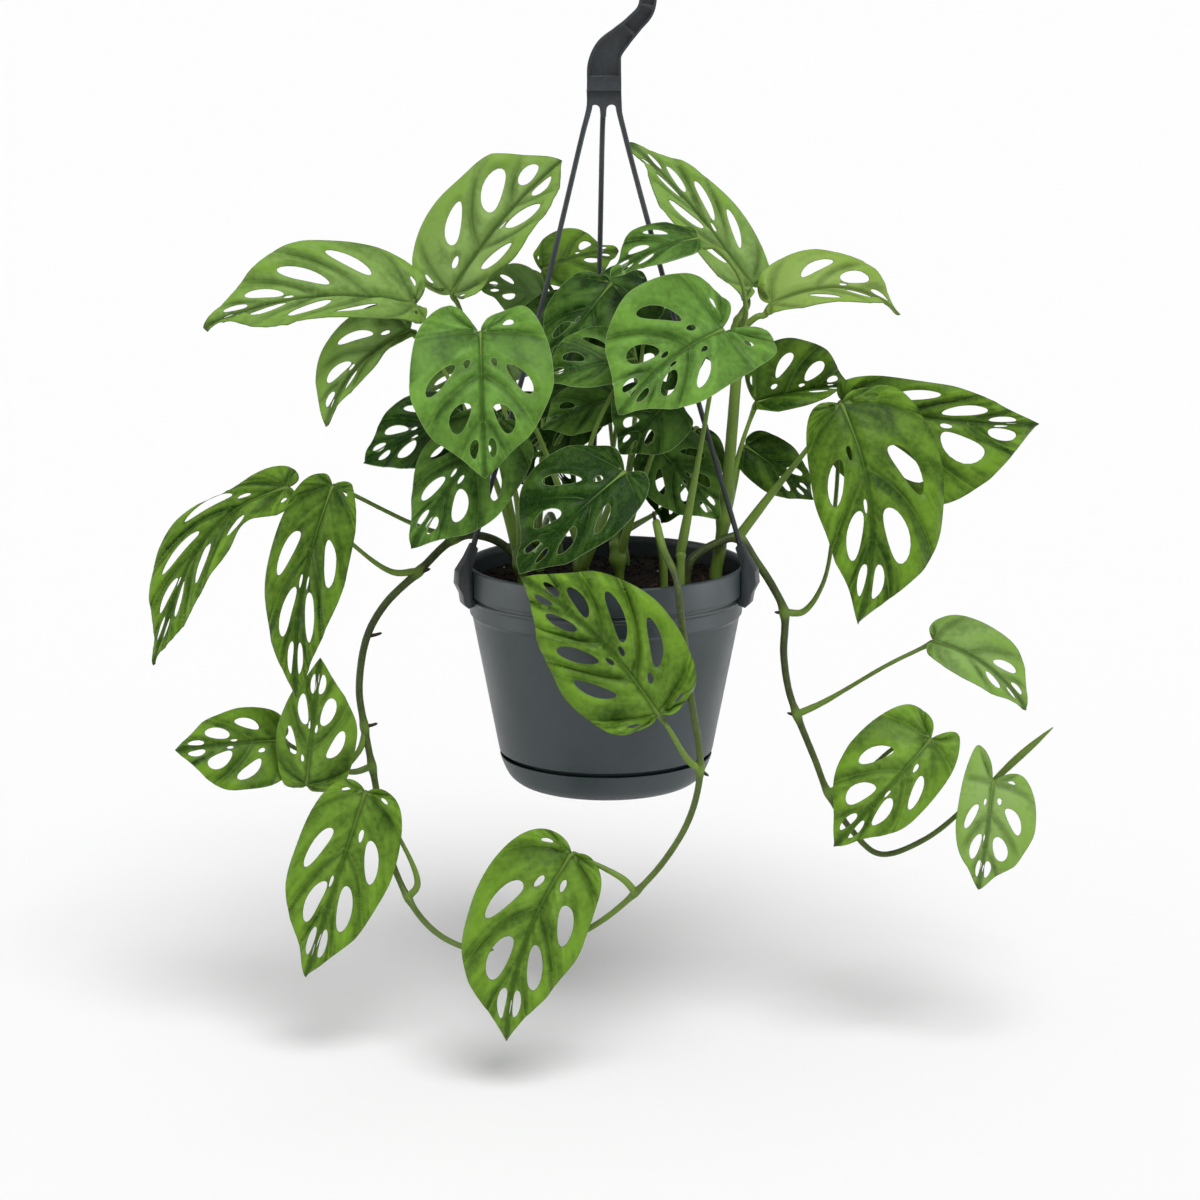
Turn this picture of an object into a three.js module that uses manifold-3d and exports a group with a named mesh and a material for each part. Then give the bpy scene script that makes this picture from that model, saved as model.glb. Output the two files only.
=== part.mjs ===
// Monstera adansonii in a hanging nursery pot with a clip-on saucer and a one-piece plastic hanger.
// Millimetres, +Z up. The origin is the inside of the hook's crown; -Y is the front of the plant.
import * as THREE from 'three';
import { mergeVertices } from 'three/addons/utils/BufferGeometryUtils.js';
import Module from 'manifold-3d';

const wasm = await Module();
wasm.setup();

// Driving dimensions. Everything under the hook is drawn from the pot's rim: z = 0 is the rim's top.
const hookToRim = 374;
const fitGap = 0.4;

const potSides = 32;
const rimRadius = 84;
const bandHeight = 16.5;
const neckRadius = 81.8;
const neckBottom = -30;
const potWall = 1.8;
const seamRadius = 64.5;
const seamZ = -114.5;
const potFootRadius = 49;
const potFloorZ = -126.8;
const potFootZ = -132.2;
const drainRing = 30;
const drainRadius = 4;
const drainCount = 4;

const saucerTopZ = -117;
const saucerFloorZ = -133;
const saucerBottomZ = -135;
const saucerFlatRadius = 47;

const soilZ = -12;
const soilCrown = 2;
const soilHoleGap = 1;
const footDepth = 22;

const hangerDepth = 11;
const hangerWall = 1.5;
const hookRadius = 22;
const hookWidth = 10;
const headWidth = 20;
const headBottomZ = 272;
const strandRadius = 1.55;
const strandSides = 6;
const strandStep = 60;
const clipAngles = [-72, 74, 186];
const clipWidth = 11;

const bladeThickness = 0.7;
const stalkGap = 0.3;
const stalkRadius = 1.25;
const stalkSides = 5;
const stalkStep = 28;
const stalkRise = 4;
const stemSides = 6;
const stemStep = 18;
const nubRadii = [1.3, 0.7];
const nubStep = 12;
const holeCorners = 5;

const rad = THREE.MathUtils.degToRad;
const vec = (p) => new THREE.Vector3(p[0], p[1], p[2]);

const finish = (color, roughness) => new THREE.MeshStandardMaterial({ color, roughness, metalness: 0 });
const potPlastic = finish('#454b50', 0.5);
const hangerPlastic = finish('#2b2e31', 0.55);
const peat = finish('#241a14', 0.95);
const vineGreen = finish('#57692c', 0.6);
const stalkGreen = finish('#6f8f33', 0.55);
const leafGreen = finish('#3f7a26', 0.45);

// ---- Solids ----

// A geometry as a closed solid with its faces outwards.
function toSolid(geometry) {
  const bare = geometry.index ? geometry.toNonIndexed() : geometry.clone();
  for (const name of Object.keys(bare.attributes)) {
    if (name !== 'position') bare.deleteAttribute(name);
  }
  const merged = mergeVertices(bare, 1e-3);
  const vertProperties = merged.attributes.position.array;
  const triVerts = new Uint32Array(merged.index.array);
  const solid = new wasm.Manifold(new wasm.Mesh({ numProp: 3, vertProperties, triVerts }));
  if (solid.volume() > 0) return solid;
  for (let i = 0; i < triVerts.length; i += 3) {
    [triVerts[i + 1], triVerts[i + 2]] = [triVerts[i + 2], triVerts[i + 1]];
  }
  return new wasm.Manifold(new wasm.Mesh({ numProp: 3, vertProperties, triVerts }));
}

function toGeometry(solid) {
  const { vertProperties, triVerts, numProp, numVert } = solid.getMesh();
  const corners = new Float32Array(numVert * 3);
  for (let i = 0; i < numVert; i++) {
    corners.set(vertProperties.subarray(i * numProp, i * numProp + 3), i * 3);
  }
  const geometry = new THREE.BufferGeometry();
  geometry.setAttribute('position', new THREE.BufferAttribute(corners, 3));
  geometry.setIndex(new THREE.BufferAttribute(triVerts, 1));
  geometry.computeVertexNormals();
  return geometry;
}

const joined = (solids) => solids.reduce((whole, solid) => whole.add(solid));

function piece(name, solid, material) {
  const mesh = new THREE.Mesh(toGeometry(solid), material);
  mesh.name = name;
  return mesh;
}

// A closed profile of [radius, z] points turned about the pot's axis.
function turned(profile, sides = potSides) {
  const points = profile.map(([radius, z]) => new THREE.Vector2(radius, z));
  return toSolid(new THREE.LatheGeometry(points, sides).rotateX(Math.PI / 2));
}

// A tube along a smooth path, thinning from one radius to the other.
function tube(points, startRadius, endRadius, sides, stepLength) {
  const path = new THREE.CatmullRomCurve3(points.map(vec), false, 'centripetal');
  const steps = Math.max(1, Math.round(path.getLength() / stepLength));
  const ring = [];
  for (let i = 0; i < sides; i++) {
    const angle = (2 * Math.PI * i) / sides;
    ring.push(new THREE.Vector2(Math.cos(angle), Math.sin(angle)));
  }
  const options = { steps, bevelEnabled: false, extrudePath: path };
  const geometry = new THREE.ExtrudeGeometry(new THREE.Shape(ring), options);
  const stations = path.getSpacedPoints(steps);
  const corners = geometry.attributes.position;
  const corner = new THREE.Vector3();
  for (let i = 0; i < corners.count; i++) {
    corner.fromBufferAttribute(corners, i);
    const distances = stations.map((station) => Math.abs(station.distanceTo(corner) - 1));
    const nearest = distances.indexOf(Math.min(...distances));
    const radius = THREE.MathUtils.lerp(startRadius, endRadius, nearest / steps);
    corner.sub(stations[nearest]).multiplyScalar(radius).add(stations[nearest]);
    corners.setXYZ(i, corner.x, corner.y, corner.z);
  }
  return toSolid(geometry);
}

// ---- Pot, saucer and soil ----

function drainHole(index) {
  const angle = (2 * Math.PI * index) / drainCount;
  const cutter = new THREE.CylinderGeometry(drainRadius, drainRadius, 8, 8);
  cutter.rotateX(Math.PI / 2);
  cutter.translate(drainRing * Math.cos(angle), drainRing * Math.sin(angle), potFloorZ);
  return toSolid(cutter);
}

function pot() {
  const floorUnderZ = potFloorZ - potWall;
  const body = turned([
    [0, floorUnderZ],
    [potFootRadius - 2.5, floorUnderZ],
    [potFootRadius - 2.5, potFootZ],
    [potFootRadius, potFootZ],
    [potFootRadius + 1, floorUnderZ + 0.6],
    [seamRadius - 4.5, seamZ - 3.5],
    [seamRadius - 3.5, seamZ],
    [seamRadius, seamZ],
    [neckRadius - 1.4, neckBottom - 1],
    [neckRadius, neckBottom + 1],
    [neckRadius, -bandHeight],
    [rimRadius, -bandHeight],
    [rimRadius, 0],
    [rimRadius - 3, 0],
    [neckRadius - potWall, -3],
    [neckRadius - potWall - 0.2, neckBottom],
    [seamRadius - potWall + 0.3, seamZ + 3],
    [seamRadius - potWall - 4.4, seamZ - 2],
    [potFootRadius - 0.6, potFloorZ],
    [0, potFloorZ],
  ]);
  let drained = body;
  for (let i = 0; i < drainCount; i++) drained = drained.subtract(drainHole(i));
  return piece('pot', drained, potPlastic);
}

function saucer() {
  const solid = turned([
    [0, saucerBottomZ],
    [saucerFlatRadius, saucerBottomZ],
    [53.5, -133.6],
    [58.6, -129.6],
    [61.6, -124],
    [seamRadius - 0.4, saucerTopZ],
    [seamRadius - 1.8, saucerTopZ],
    [59.6, -124.4],
    [53.8, -131.4],
    [saucerFlatRadius, saucerFloorZ],
    [0, saucerFloorZ],
  ]);
  return piece('saucer', solid, potPlastic);
}

// The root ball fills the pot; each stem stands in a plain hole of its own.
function pottingSoil(standing) {
  const innerRadius = neckRadius - potWall - fitGap;
  let ball = turned([
    [0, potFloorZ + fitGap],
    [potFootRadius - 1.2, potFloorZ + fitGap],
    [seamRadius - potWall - 5, seamZ - 1.6],
    [seamRadius - potWall - 0.3, seamZ + 3.2],
    [innerRadius - 0.4, neckBottom],
    [innerRadius - 0.1, soilZ - 2],
    [innerRadius - 3, soilZ],
    [0, soilZ + soilCrown],
  ]);
  for (const { foot: [x, y], radii: [footRadius] } of standing) {
    const way = [[x, y, soilZ - footDepth - 2], [x, y, soilZ + 8]];
    const holeRadius = footRadius + soilHoleGap;
    ball = ball.subtract(tube(way, holeRadius, holeRadius, stemSides, way[1][2] - way[0][2]));
  }
  return piece('potting_soil', ball, peat);
}

// ---- Hanger: hook, ribbed arm, head, three strands and their rim clips in one moulding ----

// The arm's centre line from the head up to the hook's tip, as [x, z, width].
function armStations() {
  const stations = [
    [-1.2, headBottomZ, headWidth],
    [-1.2, 284, headWidth],
    [-1, 294, headWidth - 0.5],
    [1.6, 302.5, headWidth - 3.5],
    [8.5, 310, 13],
    [16, 317.5, hookWidth + 0.6],
    [23.2, 326.5, hookWidth],
  ];
  const middle = hookRadius + hookWidth / 2;
  for (let angle = -22; angle <= 206; angle += 19) {
    const taper = angle > 150 ? (angle - 150) / 56 : 0;
    stations.push([
      middle * Math.cos(rad(angle)),
      middle * Math.sin(rad(angle)) - hookRadius + hookToRim,
      hookWidth - 3 * taper,
    ]);
  }
  return stations;
}

// The outline of a strip of the arm, inset by a margin, as a shape in the XZ plane.
function armStrip(stations, inset, endInset = 0) {
  const left = [];
  const right = [];
  stations.forEach(([x, z, width], i) => {
    const before = stations[Math.max(0, i - 1)];
    const after = stations[Math.min(stations.length - 1, i + 1)];
    const run = new THREE.Vector2(after[0] - before[0], after[1] - before[1]).normalize();
    const half = width / 2 - inset;
    const slide = (i === 0 ? endInset : 0) - (i === stations.length - 1 ? endInset : 0);
    const centre = new THREE.Vector2(x + run.x * slide, z + run.y * slide);
    left.push(new THREE.Vector2(centre.x - run.y * half, centre.y + run.x * half));
    right.unshift(new THREE.Vector2(centre.x + run.y * half, centre.y - run.x * half));
  });
  return new THREE.Shape([...left, ...right]);
}

function upright(shape, depth, y) {
  const geometry = new THREE.ExtrudeGeometry(shape, { depth, bevelEnabled: false });
  geometry.rotateX(Math.PI / 2);
  geometry.translate(0, y + depth, 0);
  return toSolid(geometry);
}

function hookAndHead() {
  const stations = armStations();
  let arm = upright(armStrip(stations, 0), hangerDepth, -hangerDepth / 2);
  const pocketDepth = (hangerDepth - hangerWall) / 2;
  const pockets = [[0, 1], [1, 3], [3, 5], [5, 7], [7, 10], [10, 13], [13, 16]];
  for (const [first, last] of pockets) {
    const pocket = armStrip(stations.slice(first, last + 1), hangerWall, hangerWall / 2);
    arm = arm.subtract(upright(pocket, pocketDepth + 1, -hangerDepth / 2 - 1));
    arm = arm.subtract(upright(pocket, pocketDepth + 1, hangerDepth / 2 - pocketDepth));
  }
  return arm;
}

// A clip's section in [radius, z]: its lip hooks under the pot's rim band.
function clip(angle) {
  const face = rimRadius + fitGap;
  const lipTop = -bandHeight - fitGap;
  const section = new THREE.Shape([
    [face - 3, 15], [face - 0.2, 16.5], [face + 3.5, 8], [face + 8.3, 0], [face + 9, -8],
    [face + 6, -14], [face + 5, -20], [face + 2.5, lipTop - 5.5], [neckRadius + 0.9, lipTop - 4],
    [neckRadius + 0.5, lipTop], [face, lipTop], [face, 2], [face - 4.4, 13],
  ].map(([radius, z]) => new THREE.Vector2(radius, z)));
  const geometry = new THREE.ExtrudeGeometry(section, { depth: clipWidth, bevelEnabled: false });
  geometry.translate(0, 0, -clipWidth / 2);
  const corners = geometry.attributes.position;
  for (let i = 0; i < corners.count; i++) {
    const narrow = THREE.MathUtils.clamp((corners.getY(i) - 2) / 14, 0, 1);
    corners.setZ(i, corners.getZ(i) * (1 - 0.66 * narrow));
  }
  geometry.rotateX(Math.PI / 2);
  geometry.rotateZ(rad(angle - 90));
  return toSolid(geometry);
}

function strand(angle, headX) {
  const reach = (radius, z) => [
    radius * Math.sin(rad(angle)),
    -radius * Math.cos(rad(angle)),
    z,
  ];
  const inHead = [headX, angle === clipAngles[2] ? 2 : 0, headBottomZ + 4];
  const belowHead = reach(9, 255);
  belowHead[0] = headX * 0.55 + belowHead[0] * 0.55;
  const way = [inHead, belowHead, reach(44, 140), reach(rimRadius - 1.6, 14.5)];
  return tube(way, strandRadius, strandRadius, strandSides, strandStep);
}

function hanger() {
  const headXs = [-8.6, 6.6, -1.2];
  const strands = clipAngles.map((angle, i) => strand(angle, headXs[i]));
  return piece('hanger', joined([hookAndHead(), ...strands, ...clipAngles.map(clip)]), hangerPlastic);
}

// ---- Leaf blades ----

// The edge of one half of a flat blade, from the stalk round the lobe to the tip, as q goes 0 to 1.
// Across is in millimetres, along is a share of the midrib's length. A half has its width, the depth
// of its lobe, how blunt it ends and how far it draws in at its waist.
const lobeShare = 0.4;
const firstVeinEnd = 0.33;
const waistPlace = 0.2;
const waistReach = 0.13;

function cubic(a, b, c, d, t) {
  const u = 1 - t;
  return u * u * u * a + 3 * u * u * t * b + 3 * u * t * t * c + t * t * t * d;
}

function halfOf(leaf, half) {
  const { wide, lobe = [0.06, 0.06], waist = [0, 0], blunt = 0.4 } = leaf;
  return { wide: wide[half], lobe: lobe[half], waist: waist[half], blunt };
}

function margin({ wide, lobe, waist, blunt }, q) {
  const lobed = q < lobeShare;
  const t = lobed ? q / lobeShare : (q - lobeShare) / (1 - lobeShare);
  const x = lobed ? cubic(0, 0.2 * wide, wide, wide, t) : cubic(wide, wide, blunt * wide, 0, t);
  const y = lobed ? cubic(0, -1.35 * lobe, -1.5 * lobe, 0.36, t) : cubic(0.36, 0.66, 0.86, 1, t);
  return [x * (1 - waist * Math.exp(-(((y - waistPlace) / waistReach) ** 2))), y];
}

const veinEnd = (start) => firstVeinEnd + (1 - firstVeinEnd) * start ** 0.62;

// A point on the side vein that leaves the midrib at start, a share f of the way to the edge.
function onVein(half, start, f) {
  const [endX, endY] = margin(half, veinEnd(start));
  const bendX = 0.55 * endX;
  const bendY = start + 0.25 * (endY - start);
  const u = 1 - f;
  return [
    2 * u * f * bendX + f * f * endX,
    u * u * start + 2 * u * f * bendY + f * f * endY,
  ];
}

// A hole between two side veins: [from, to] is its reach between midrib and edge, span its width and
// centre its place, both as shares of the way from one vein to the next.
function holeBetween(half, veinA, veinB, [from, to, span, centre = 0.5]) {
  const corners = [];
  for (let i = 0; i < holeCorners; i++) {
    const angle = (2 * Math.PI * i) / holeCorners;
    const f = (from + to) / 2 + ((to - from) / 2) * Math.cos(angle);
    const g = centre + (span / 2) * Math.sin(angle);
    corners.push(onVein(half, veinA + (veinB - veinA) * g, f));
  }
  return corners;
}

// The panels of one half: each lies between two side veins and may hold one hole.
function panels(half, veins, holes) {
  const lobePanel = {
    edge: [
      [0, 0],
      onVein(half, 0, 0.5),
      margin(half, firstVeinEnd),
      margin(half, firstVeinEnd * 0.68),
      margin(half, firstVeinEnd * 0.36),
    ],
    holes: [],
  };
  const rest = veins.map((start, i) => {
    const next = i + 1 < veins.length ? veins[i + 1] : 1;
    const edge = [[0, start], onVein(half, start, 0.5), margin(half, veinEnd(start))];
    edge.push(margin(half, (veinEnd(start) + veinEnd(next)) / 2));
    edge.push(next < 1 ? margin(half, veinEnd(next)) : [0, 1]);
    if (next < 1) edge.push(onVein(half, next, 0.5), [0, next]);
    return { edge, holes: holes[i] ? [holeBetween(half, start, next, holes[i])] : [] };
  });
  return [lobePanel, ...rest];
}

// Lays a flat point on the bent blade: the midrib arches towards the upper face, bows sideways and
// sways sideways near the stalk, and each half folds down from it.
function bladeSurface(leaf) {
  const base = vec(leaf.base);
  const along = vec(leaf.tip).sub(base);
  const length = along.length();
  along.normalize();
  const face = vec(leaf.face);
  face.addScaledVector(along, -face.dot(along)).normalize();
  const right = along.clone().cross(face);
  const { arch = 6, bow = 0, sway = 0, fold = [0, 0] } = leaf;
  const lift = face.clone().multiplyScalar(arch).addScaledVector(right, bow);
  const place = (x, y) => {
    const run = along.clone().multiplyScalar(length).addScaledVector(lift, 4 * (1 - 2 * y))
      .addScaledVector(right, sway * 6.75 * (1 - y) * (1 - 3 * y)).normalize();
    const side = right.clone().addScaledVector(run, -right.dot(run)).normalize();
    const up = side.clone().cross(run);
    const angle = rad(fold[x < 0 ? 0 : 1]);
    return base.clone()
      .addScaledVector(along, length * y)
      .addScaledVector(lift, 4 * y * (1 - y))
      .addScaledVector(right, sway * 6.75 * y * (1 - y) ** 2)
      .addScaledVector(side, x * Math.cos(angle))
      .addScaledVector(up, -Math.abs(x) * Math.sin(angle));
  };
  return { place, length, face };
}

function blade(leaf) {
  const { place, length } = bladeSurface(leaf);
  const veins = sideVeins[leaf.holes[0].length];
  const flat = [];
  const seen = new Map();
  const cornerAt = ([x, y]) => {
    const key = `${x.toFixed(3)} ${y.toFixed(4)}`;
    if (!seen.has(key)) {
      seen.set(key, flat.length);
      flat.push([x, y]);
    }
    return seen.get(key);
  };
  const top = [];
  [-1, 1].forEach((sign, half) => {
    const turn = ([x, y]) => [x === 0 ? 0 : sign * x, y];
    for (const panel of panels(halfOf(leaf, half), veins, leaf.holes[half])) {
      const loops = [panel.edge, ...panel.holes].map((loop) => loop.map(turn));
      const onPlane = loops.map((loop) => loop.map(([x, y]) => new THREE.Vector2(x, y * length)));
      const corners = loops.flat();
      for (const [a, b, c] of THREE.ShapeUtils.triangulateShape(onPlane[0], onPlane.slice(1))) {
        const points = onPlane.flat();
        const across = points[b].clone().sub(points[a]).cross(points[c].clone().sub(points[a]));
        const order = across > 0 ? [a, b, c] : [a, c, b];
        top.push(order.map((k) => cornerAt(corners[k])));
      }
    }
  });
  const onPlane = flat.map(([x, y]) => new THREE.Vector2(x, y * length));
  return thickened(flat, withoutNeedles(top, onPlane), place, length);
}

// Swaps the diagonal of two neighbouring triangles wherever that makes them less of a needle. The
// edges on the midrib stay, because the blade folds there.
function withoutNeedles(triangles, points) {
  const angleAt = (corner, a, b) => {
    const toA = points[a].clone().sub(points[corner]);
    const toB = points[b].clone().sub(points[corner]);
    return Math.atan2(Math.abs(toA.cross(toB)), toA.dot(toB));
  };
  for (let swaps = 1, pass = 0; swaps > 0 && pass < 40; pass++) {
    swaps = 0;
    const acrossFrom = new Map();
    const changed = new Set();
    triangles.forEach(([a, b, c], i) => {
      for (const [from, to, far] of [[a, b, c], [b, c, a], [c, a, b]]) {
        acrossFrom.set(`${from} ${to}`, [i, far]);
      }
    });
    for (const [edge, [i, far]] of acrossFrom) {
      const [from, to] = edge.split(' ').map(Number);
      const [j, other] = acrossFrom.get(`${to} ${from}`) ?? [-1, -1];
      const onMidrib = points[from].x === 0 && points[to].x === 0;
      if (j < 0 || onMidrib || changed.has(i) || changed.has(j)) continue;
      if (angleAt(far, from, to) + angleAt(other, from, to) < Math.PI + 1e-6) continue;
      triangles[i] = [far, from, other];
      triangles[j] = [other, to, far];
      changed.add(i).add(j);
      swaps++;
    }
  }
  return triangles;
}

// A sheet of flat triangles laid on the surface, with the same triangles on both faces.
function thickened(flat, top, place, length) {
  const upper = [];
  const lower = [];
  for (const [x, y] of flat) {
    const acrossStep = place(x + 0.5, y).sub(place(x - 0.5, y));
    const alongStep = place(x, y + 0.5 / length).sub(place(x, y - 0.5 / length));
    const normal = acrossStep.cross(alongStep).setLength(bladeThickness / 2);
    upper.push(...place(x, y).add(normal).toArray());
    lower.push(...place(x, y).sub(normal).toArray());
  }
  const under = flat.length;
  const edges = new Set(top.flatMap(([a, b, c]) => [`${a} ${b}`, `${b} ${c}`, `${c} ${a}`]));
  const faces = [];
  for (const [a, b, c] of top) {
    faces.push(a, b, c, a + under, c + under, b + under);
    for (const [from, to] of [[a, b], [b, c], [c, a]]) {
      if (edges.has(`${to} ${from}`)) continue;
      faces.push(to, from, from + under, to, from + under, to + under);
    }
  }
  const geometry = new THREE.BufferGeometry();
  geometry.setAttribute('position', new THREE.Float32BufferAttribute([...upper, ...lower], 3));
  geometry.setIndex(faces);
  return toSolid(geometry);
}

// Hole patterns, one entry for each panel from stalk to tip: [from, to, span, centre], or 0 for none.
const none = [0, 0, 0];
const single = [0, [0.3, 0.74, 0.4], 0];
const few = [0, [0.3, 0.78, 0.42], [0.3, 0.74, 0.34, 0.28]];
const some = [[0.36, 0.8, 0.32], [0.28, 0.8, 0.44], [0.3, 0.76, 0.34, 0.28]];
const slim = [[0.34, 0.62, 0.3], [0.3, 0.76, 0.44], [0.26, 0.74, 0.44], [0.3, 0.7, 0.34, 0.24]];
const wide = [[0.36, 0.78, 0.42], [0.26, 0.8, 0.54], [0.24, 0.78, 0.42, 0.3]];
const many = [[0.34, 0.78, 0.36], [0.28, 0.8, 0.46], [0.24, 0.78, 0.5], [0.28, 0.76, 0.34, 0.24]];

// Where the side veins leave the midrib, by the number of panels.
const sideVeins = { 3: [0, 0.3, 0.62], 4: [0, 0.22, 0.46, 0.7] };

// Every leaf: where its blade meets the stalk, its tip, the way its upper face looks, the width of
// its left and right half, its bends, and the stalk's way from the stem. Left and right are those of
// the upper face with the tip pointing up. A sheath is the stalk's radius where it starts thick.
const leaves = [
  // the left vine
  { name: 'leaf_left_1', stem: 'vine_left', base: [-189, -15, 47], tip: [-269, -30, -57],
    face: [-0.35, -0.75, 0.55], wide: [26, 23], waist: [0.42, 0.35], arch: 14, bow: 3,
    sway: 13, fold: [-12, -12], holes: [slim, many],
    stalk: [[-113, 0, -6], [-128, -2, -6], [-160, -8, 20]] },
  { name: 'leaf_left_2', stem: 'vine_left', base: [-160, -36, 52], tip: [-183, -49, -73],
    face: [-0.3, -0.9, 0.25], wide: [25, 24], arch: 8, bow: 4, fold: [-8, -8],
    holes: [wide, wide], stalk: [[-91, 9, 12], [-115, -6, 24]] },
  { name: 'leaf_left_3', stem: 'vine_left', base: [-179, -30, -130], tip: [-169, -35, -51],
    face: [0, -1, 0.1], wide: [21, 27], arch: 5, lobe: [0.08, 0.1], fold: [8, 8],
    holes: [wide, wide], stalk: [[-144, -15, -98], [-148, -17, -112], [-172, -20, -136]] },
  { name: 'leaf_left_4', stem: 'vine_left', base: [-194, -12, -107], tip: [-258, -25, -110],
    face: [-0.1, -0.9, 0.35], wide: [30, 21], arch: 5, fold: [-5, -10],
    holes: [wide, wide], stalk: [[-140, -17, -122], [-155, -8, -128], [-182, -2, -118]] },
  { name: 'leaf_left_5', stem: 'vine_left', base: [-143, -45, -131], tip: [-179, -60, -241],
    face: [0, -1, 0.2], wide: [31, 30], arch: 6, fold: [6, 6],
    holes: [wide, wide], stalk: [[-119, -35, -199], [-113, -37, -190], [-124, -38, -160]] },

  // the front vine
  { name: 'leaf_front_1', stem: 'vine_front', base: [29, -112, -66], tip: [-49, -103, 12],
    face: [0, -1, 0.1], wide: [37, 39], arch: 6, bow: 7, fold: [5, 5],
    holes: [many, many], stalk: [[54, -104, -101], [47, -106, -95], [36, -110, -76]] },
  { name: 'leaf_front_2', stem: 'vine_front', base: [-20, -100, -153], tip: [-58, -112, -263],
    face: [0, -1, 0.15], wide: [32, 39], arch: 6, bow: 9, fold: [6, 6],
    holes: [wide, wide], stalk: [[17, -100, -176], [10, -100, -168]] },

  // the right vine
  { name: 'leaf_right_1', stem: 'vine_right', base: [141, 10, 95], tip: [260, 20, 80],
    face: [0, -1, 0.15], wide: [22, 52], arch: 8, bow: 4, fold: [-15, -8],
    holes: [wide, wide], sheath: 3, stalk: [[79, 3, 14], [95, 6, 35], [125, 14, 72]] },
  { name: 'leaf_right_2', stem: 'vine_right', base: [138, -20, 98], tip: [148, -45, -29],
    face: [0, -0.95, 0.25], wide: [47, 32], arch: 10, bow: -12, fold: [6, 6],
    holes: [wide, wide], stalk: [[107, 0, -31], [118, 0, -31], [130, -4, -12], [136, -13, 40]] },
  { name: 'leaf_right_3', stem: 'vine_right', base: [197, -5, -48], tip: [252, -16, -88],
    face: [0, -0.9, 0.4], wide: [22, 15], arch: 6, bow: -6, lobe: [0.08, 0.06], fold: [-6, -12],
    holes: [few, few], stalk: [[115, -5, -93], [130, -5, -86], [170, -5, -62]] },
  { name: 'leaf_right_4', stem: 'vine_right', base: [193, -35, -101], tip: [135, -50, -163],
    face: [0, -1, 0.2], wide: [25, 34], arch: 6, lobe: [0.18, 0.16], fold: [6, 6],
    holes: [wide, wide], stalk: [[134, -12, -140], [150, -14, -132], [175, -22, -108]] },
  { name: 'leaf_right_5', stem: 'vine_right', base: [230, -40, -126], tip: [221, -55, -188],
    face: [0, -1, 0.15], wide: [28, 19], arch: 5, lobe: [0.12, 0.34], fold: [-5, -5],
    holes: [wide, wide], stalk: [[222, -21, -141], [226, -28, -134]] },

  // the crown, from the left shoot to the right one
  { name: 'leaf_crown_01', stem: 'shoot_left', base: [-113, -5, 155], tip: [-235, -25, 144],
    face: [-0.1, -0.65, 0.75], wide: [33, 36], arch: 12, bow: 3, fold: [-22, -22],
    holes: [many, many], sheath: 2.4, stalk: [[-52, -13, 10], [-68, -6, 80], [-98, 0, 138]] },
  { name: 'leaf_crown_02', stem: 'shoot_left_back', base: [-92, 20, 158], tip: [-26, 35, 236],
    face: [-0.4, -0.85, 0.35], wide: [38, 30], lobe: [0.06, 0], waist: [0, 0.3], blunt: 0.8,
    arch: 6, bow: -2, fold: [-25, -20], holes: [wide, wide],
    stalk: [[-41, 15, 15], [-58, 22, 80], [-84, 28, 140]] },
  { name: 'leaf_crown_03', stem: 'shoot_left', base: [-115, -15, 141], tip: [-164, -30, 86],
    face: [-0.1, -0.85, 0.5], wide: [10, 24], waist: [0.5, 0], arch: 5, bow: 8, fold: [-20, -20],
    holes: [single, some], stalk: [[-51, -14, 6], [-74, -6, 72], [-102, -6, 126]] },
  { name: 'leaf_crown_04', stem: 'shoot_middle', base: [-72, -62, 146], tip: [-69, -90, 66],
    face: [0, -0.95, 0.3], wide: [40, 42], lobe: [0.2, 0.2], arch: 6, fold: [-6, -6],
    holes: [some, some], sheath: 2.8, stalk: [[-15, -35, 15], [-38, -42, 80], [-62, -50, 132]] },
  { name: 'leaf_crown_05', stem: 'shoot_left', base: [-84, -24, 92], tip: [-142, -38, 66],
    face: [-0.1, -0.8, 0.6], wide: [26, 24], arch: 6, fold: [0, 0],
    holes: [some, some], sheath: 2.6, stalk: [[-51, -15, 0], [-62, -12, 40], [-78, -13, 82]] },
  { name: 'leaf_crown_06', stem: 'shoot_left', base: [-62, -45, 93], tip: [-113, -68, 21],
    face: [-0.15, -0.9, 0.4], wide: [35, 26], arch: 6, fold: [5, 5],
    holes: [some, some], sheath: 2.6, stalk: [[-50, -15, 0], [-52, -32, 40], [-60, -38, 80]] },
  { name: 'leaf_crown_07', stem: 'shoot_middle', base: [10, -80, 68], tip: [-50, -97, 12],
    face: [-0.1, -0.85, 0.5], wide: [24, 38], lobe: [0.12, 0.1], arch: 6, fold: [6, 6],
    holes: [some, some], sheath: 3, stalk: [[-15, -35, 0], [-2, -52, 34], [8, -68, 62]] },
  { name: 'leaf_crown_08', stem: 'shoot_left_back', base: [-37, 55, 150], tip: [-77, 70, 157],
    face: [0.2, 0.8, 0.5], wide: [22, 22], arch: 4,
    holes: [few, few], stalk: [[-41, 16, 10], [-38, 40, 80], [-34, 48, 130]] },
  { name: 'leaf_crown_09', stem: 'shoot_left_back', base: [-38, 62, 168], tip: [8, 75, 178],
    face: [0, -0.6, 0.8], wide: [26, 22], arch: 4,
    holes: [few, few], stalk: [[-41, 16, 12], [-34, 42, 90], [-28, 54, 146]] },
  { name: 'leaf_crown_10', stem: 'shoot_centre', base: [3, -12, 168], tip: [-34, -30, 118],
    face: [-0.1, -0.8, 0.6], wide: [26, 24], arch: 4,
    holes: [few, few], stalk: [[6, -11, 15], [16, -12, 80], [17, -14, 125], [6, -13, 158]] },
  { name: 'leaf_crown_11', stem: 'shoot_centre', base: [25, 21, 165], tip: [-4, 18, 134],
    face: [-0.1, -0.8, 0.6], wide: [23, 24], arch: 4,
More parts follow.
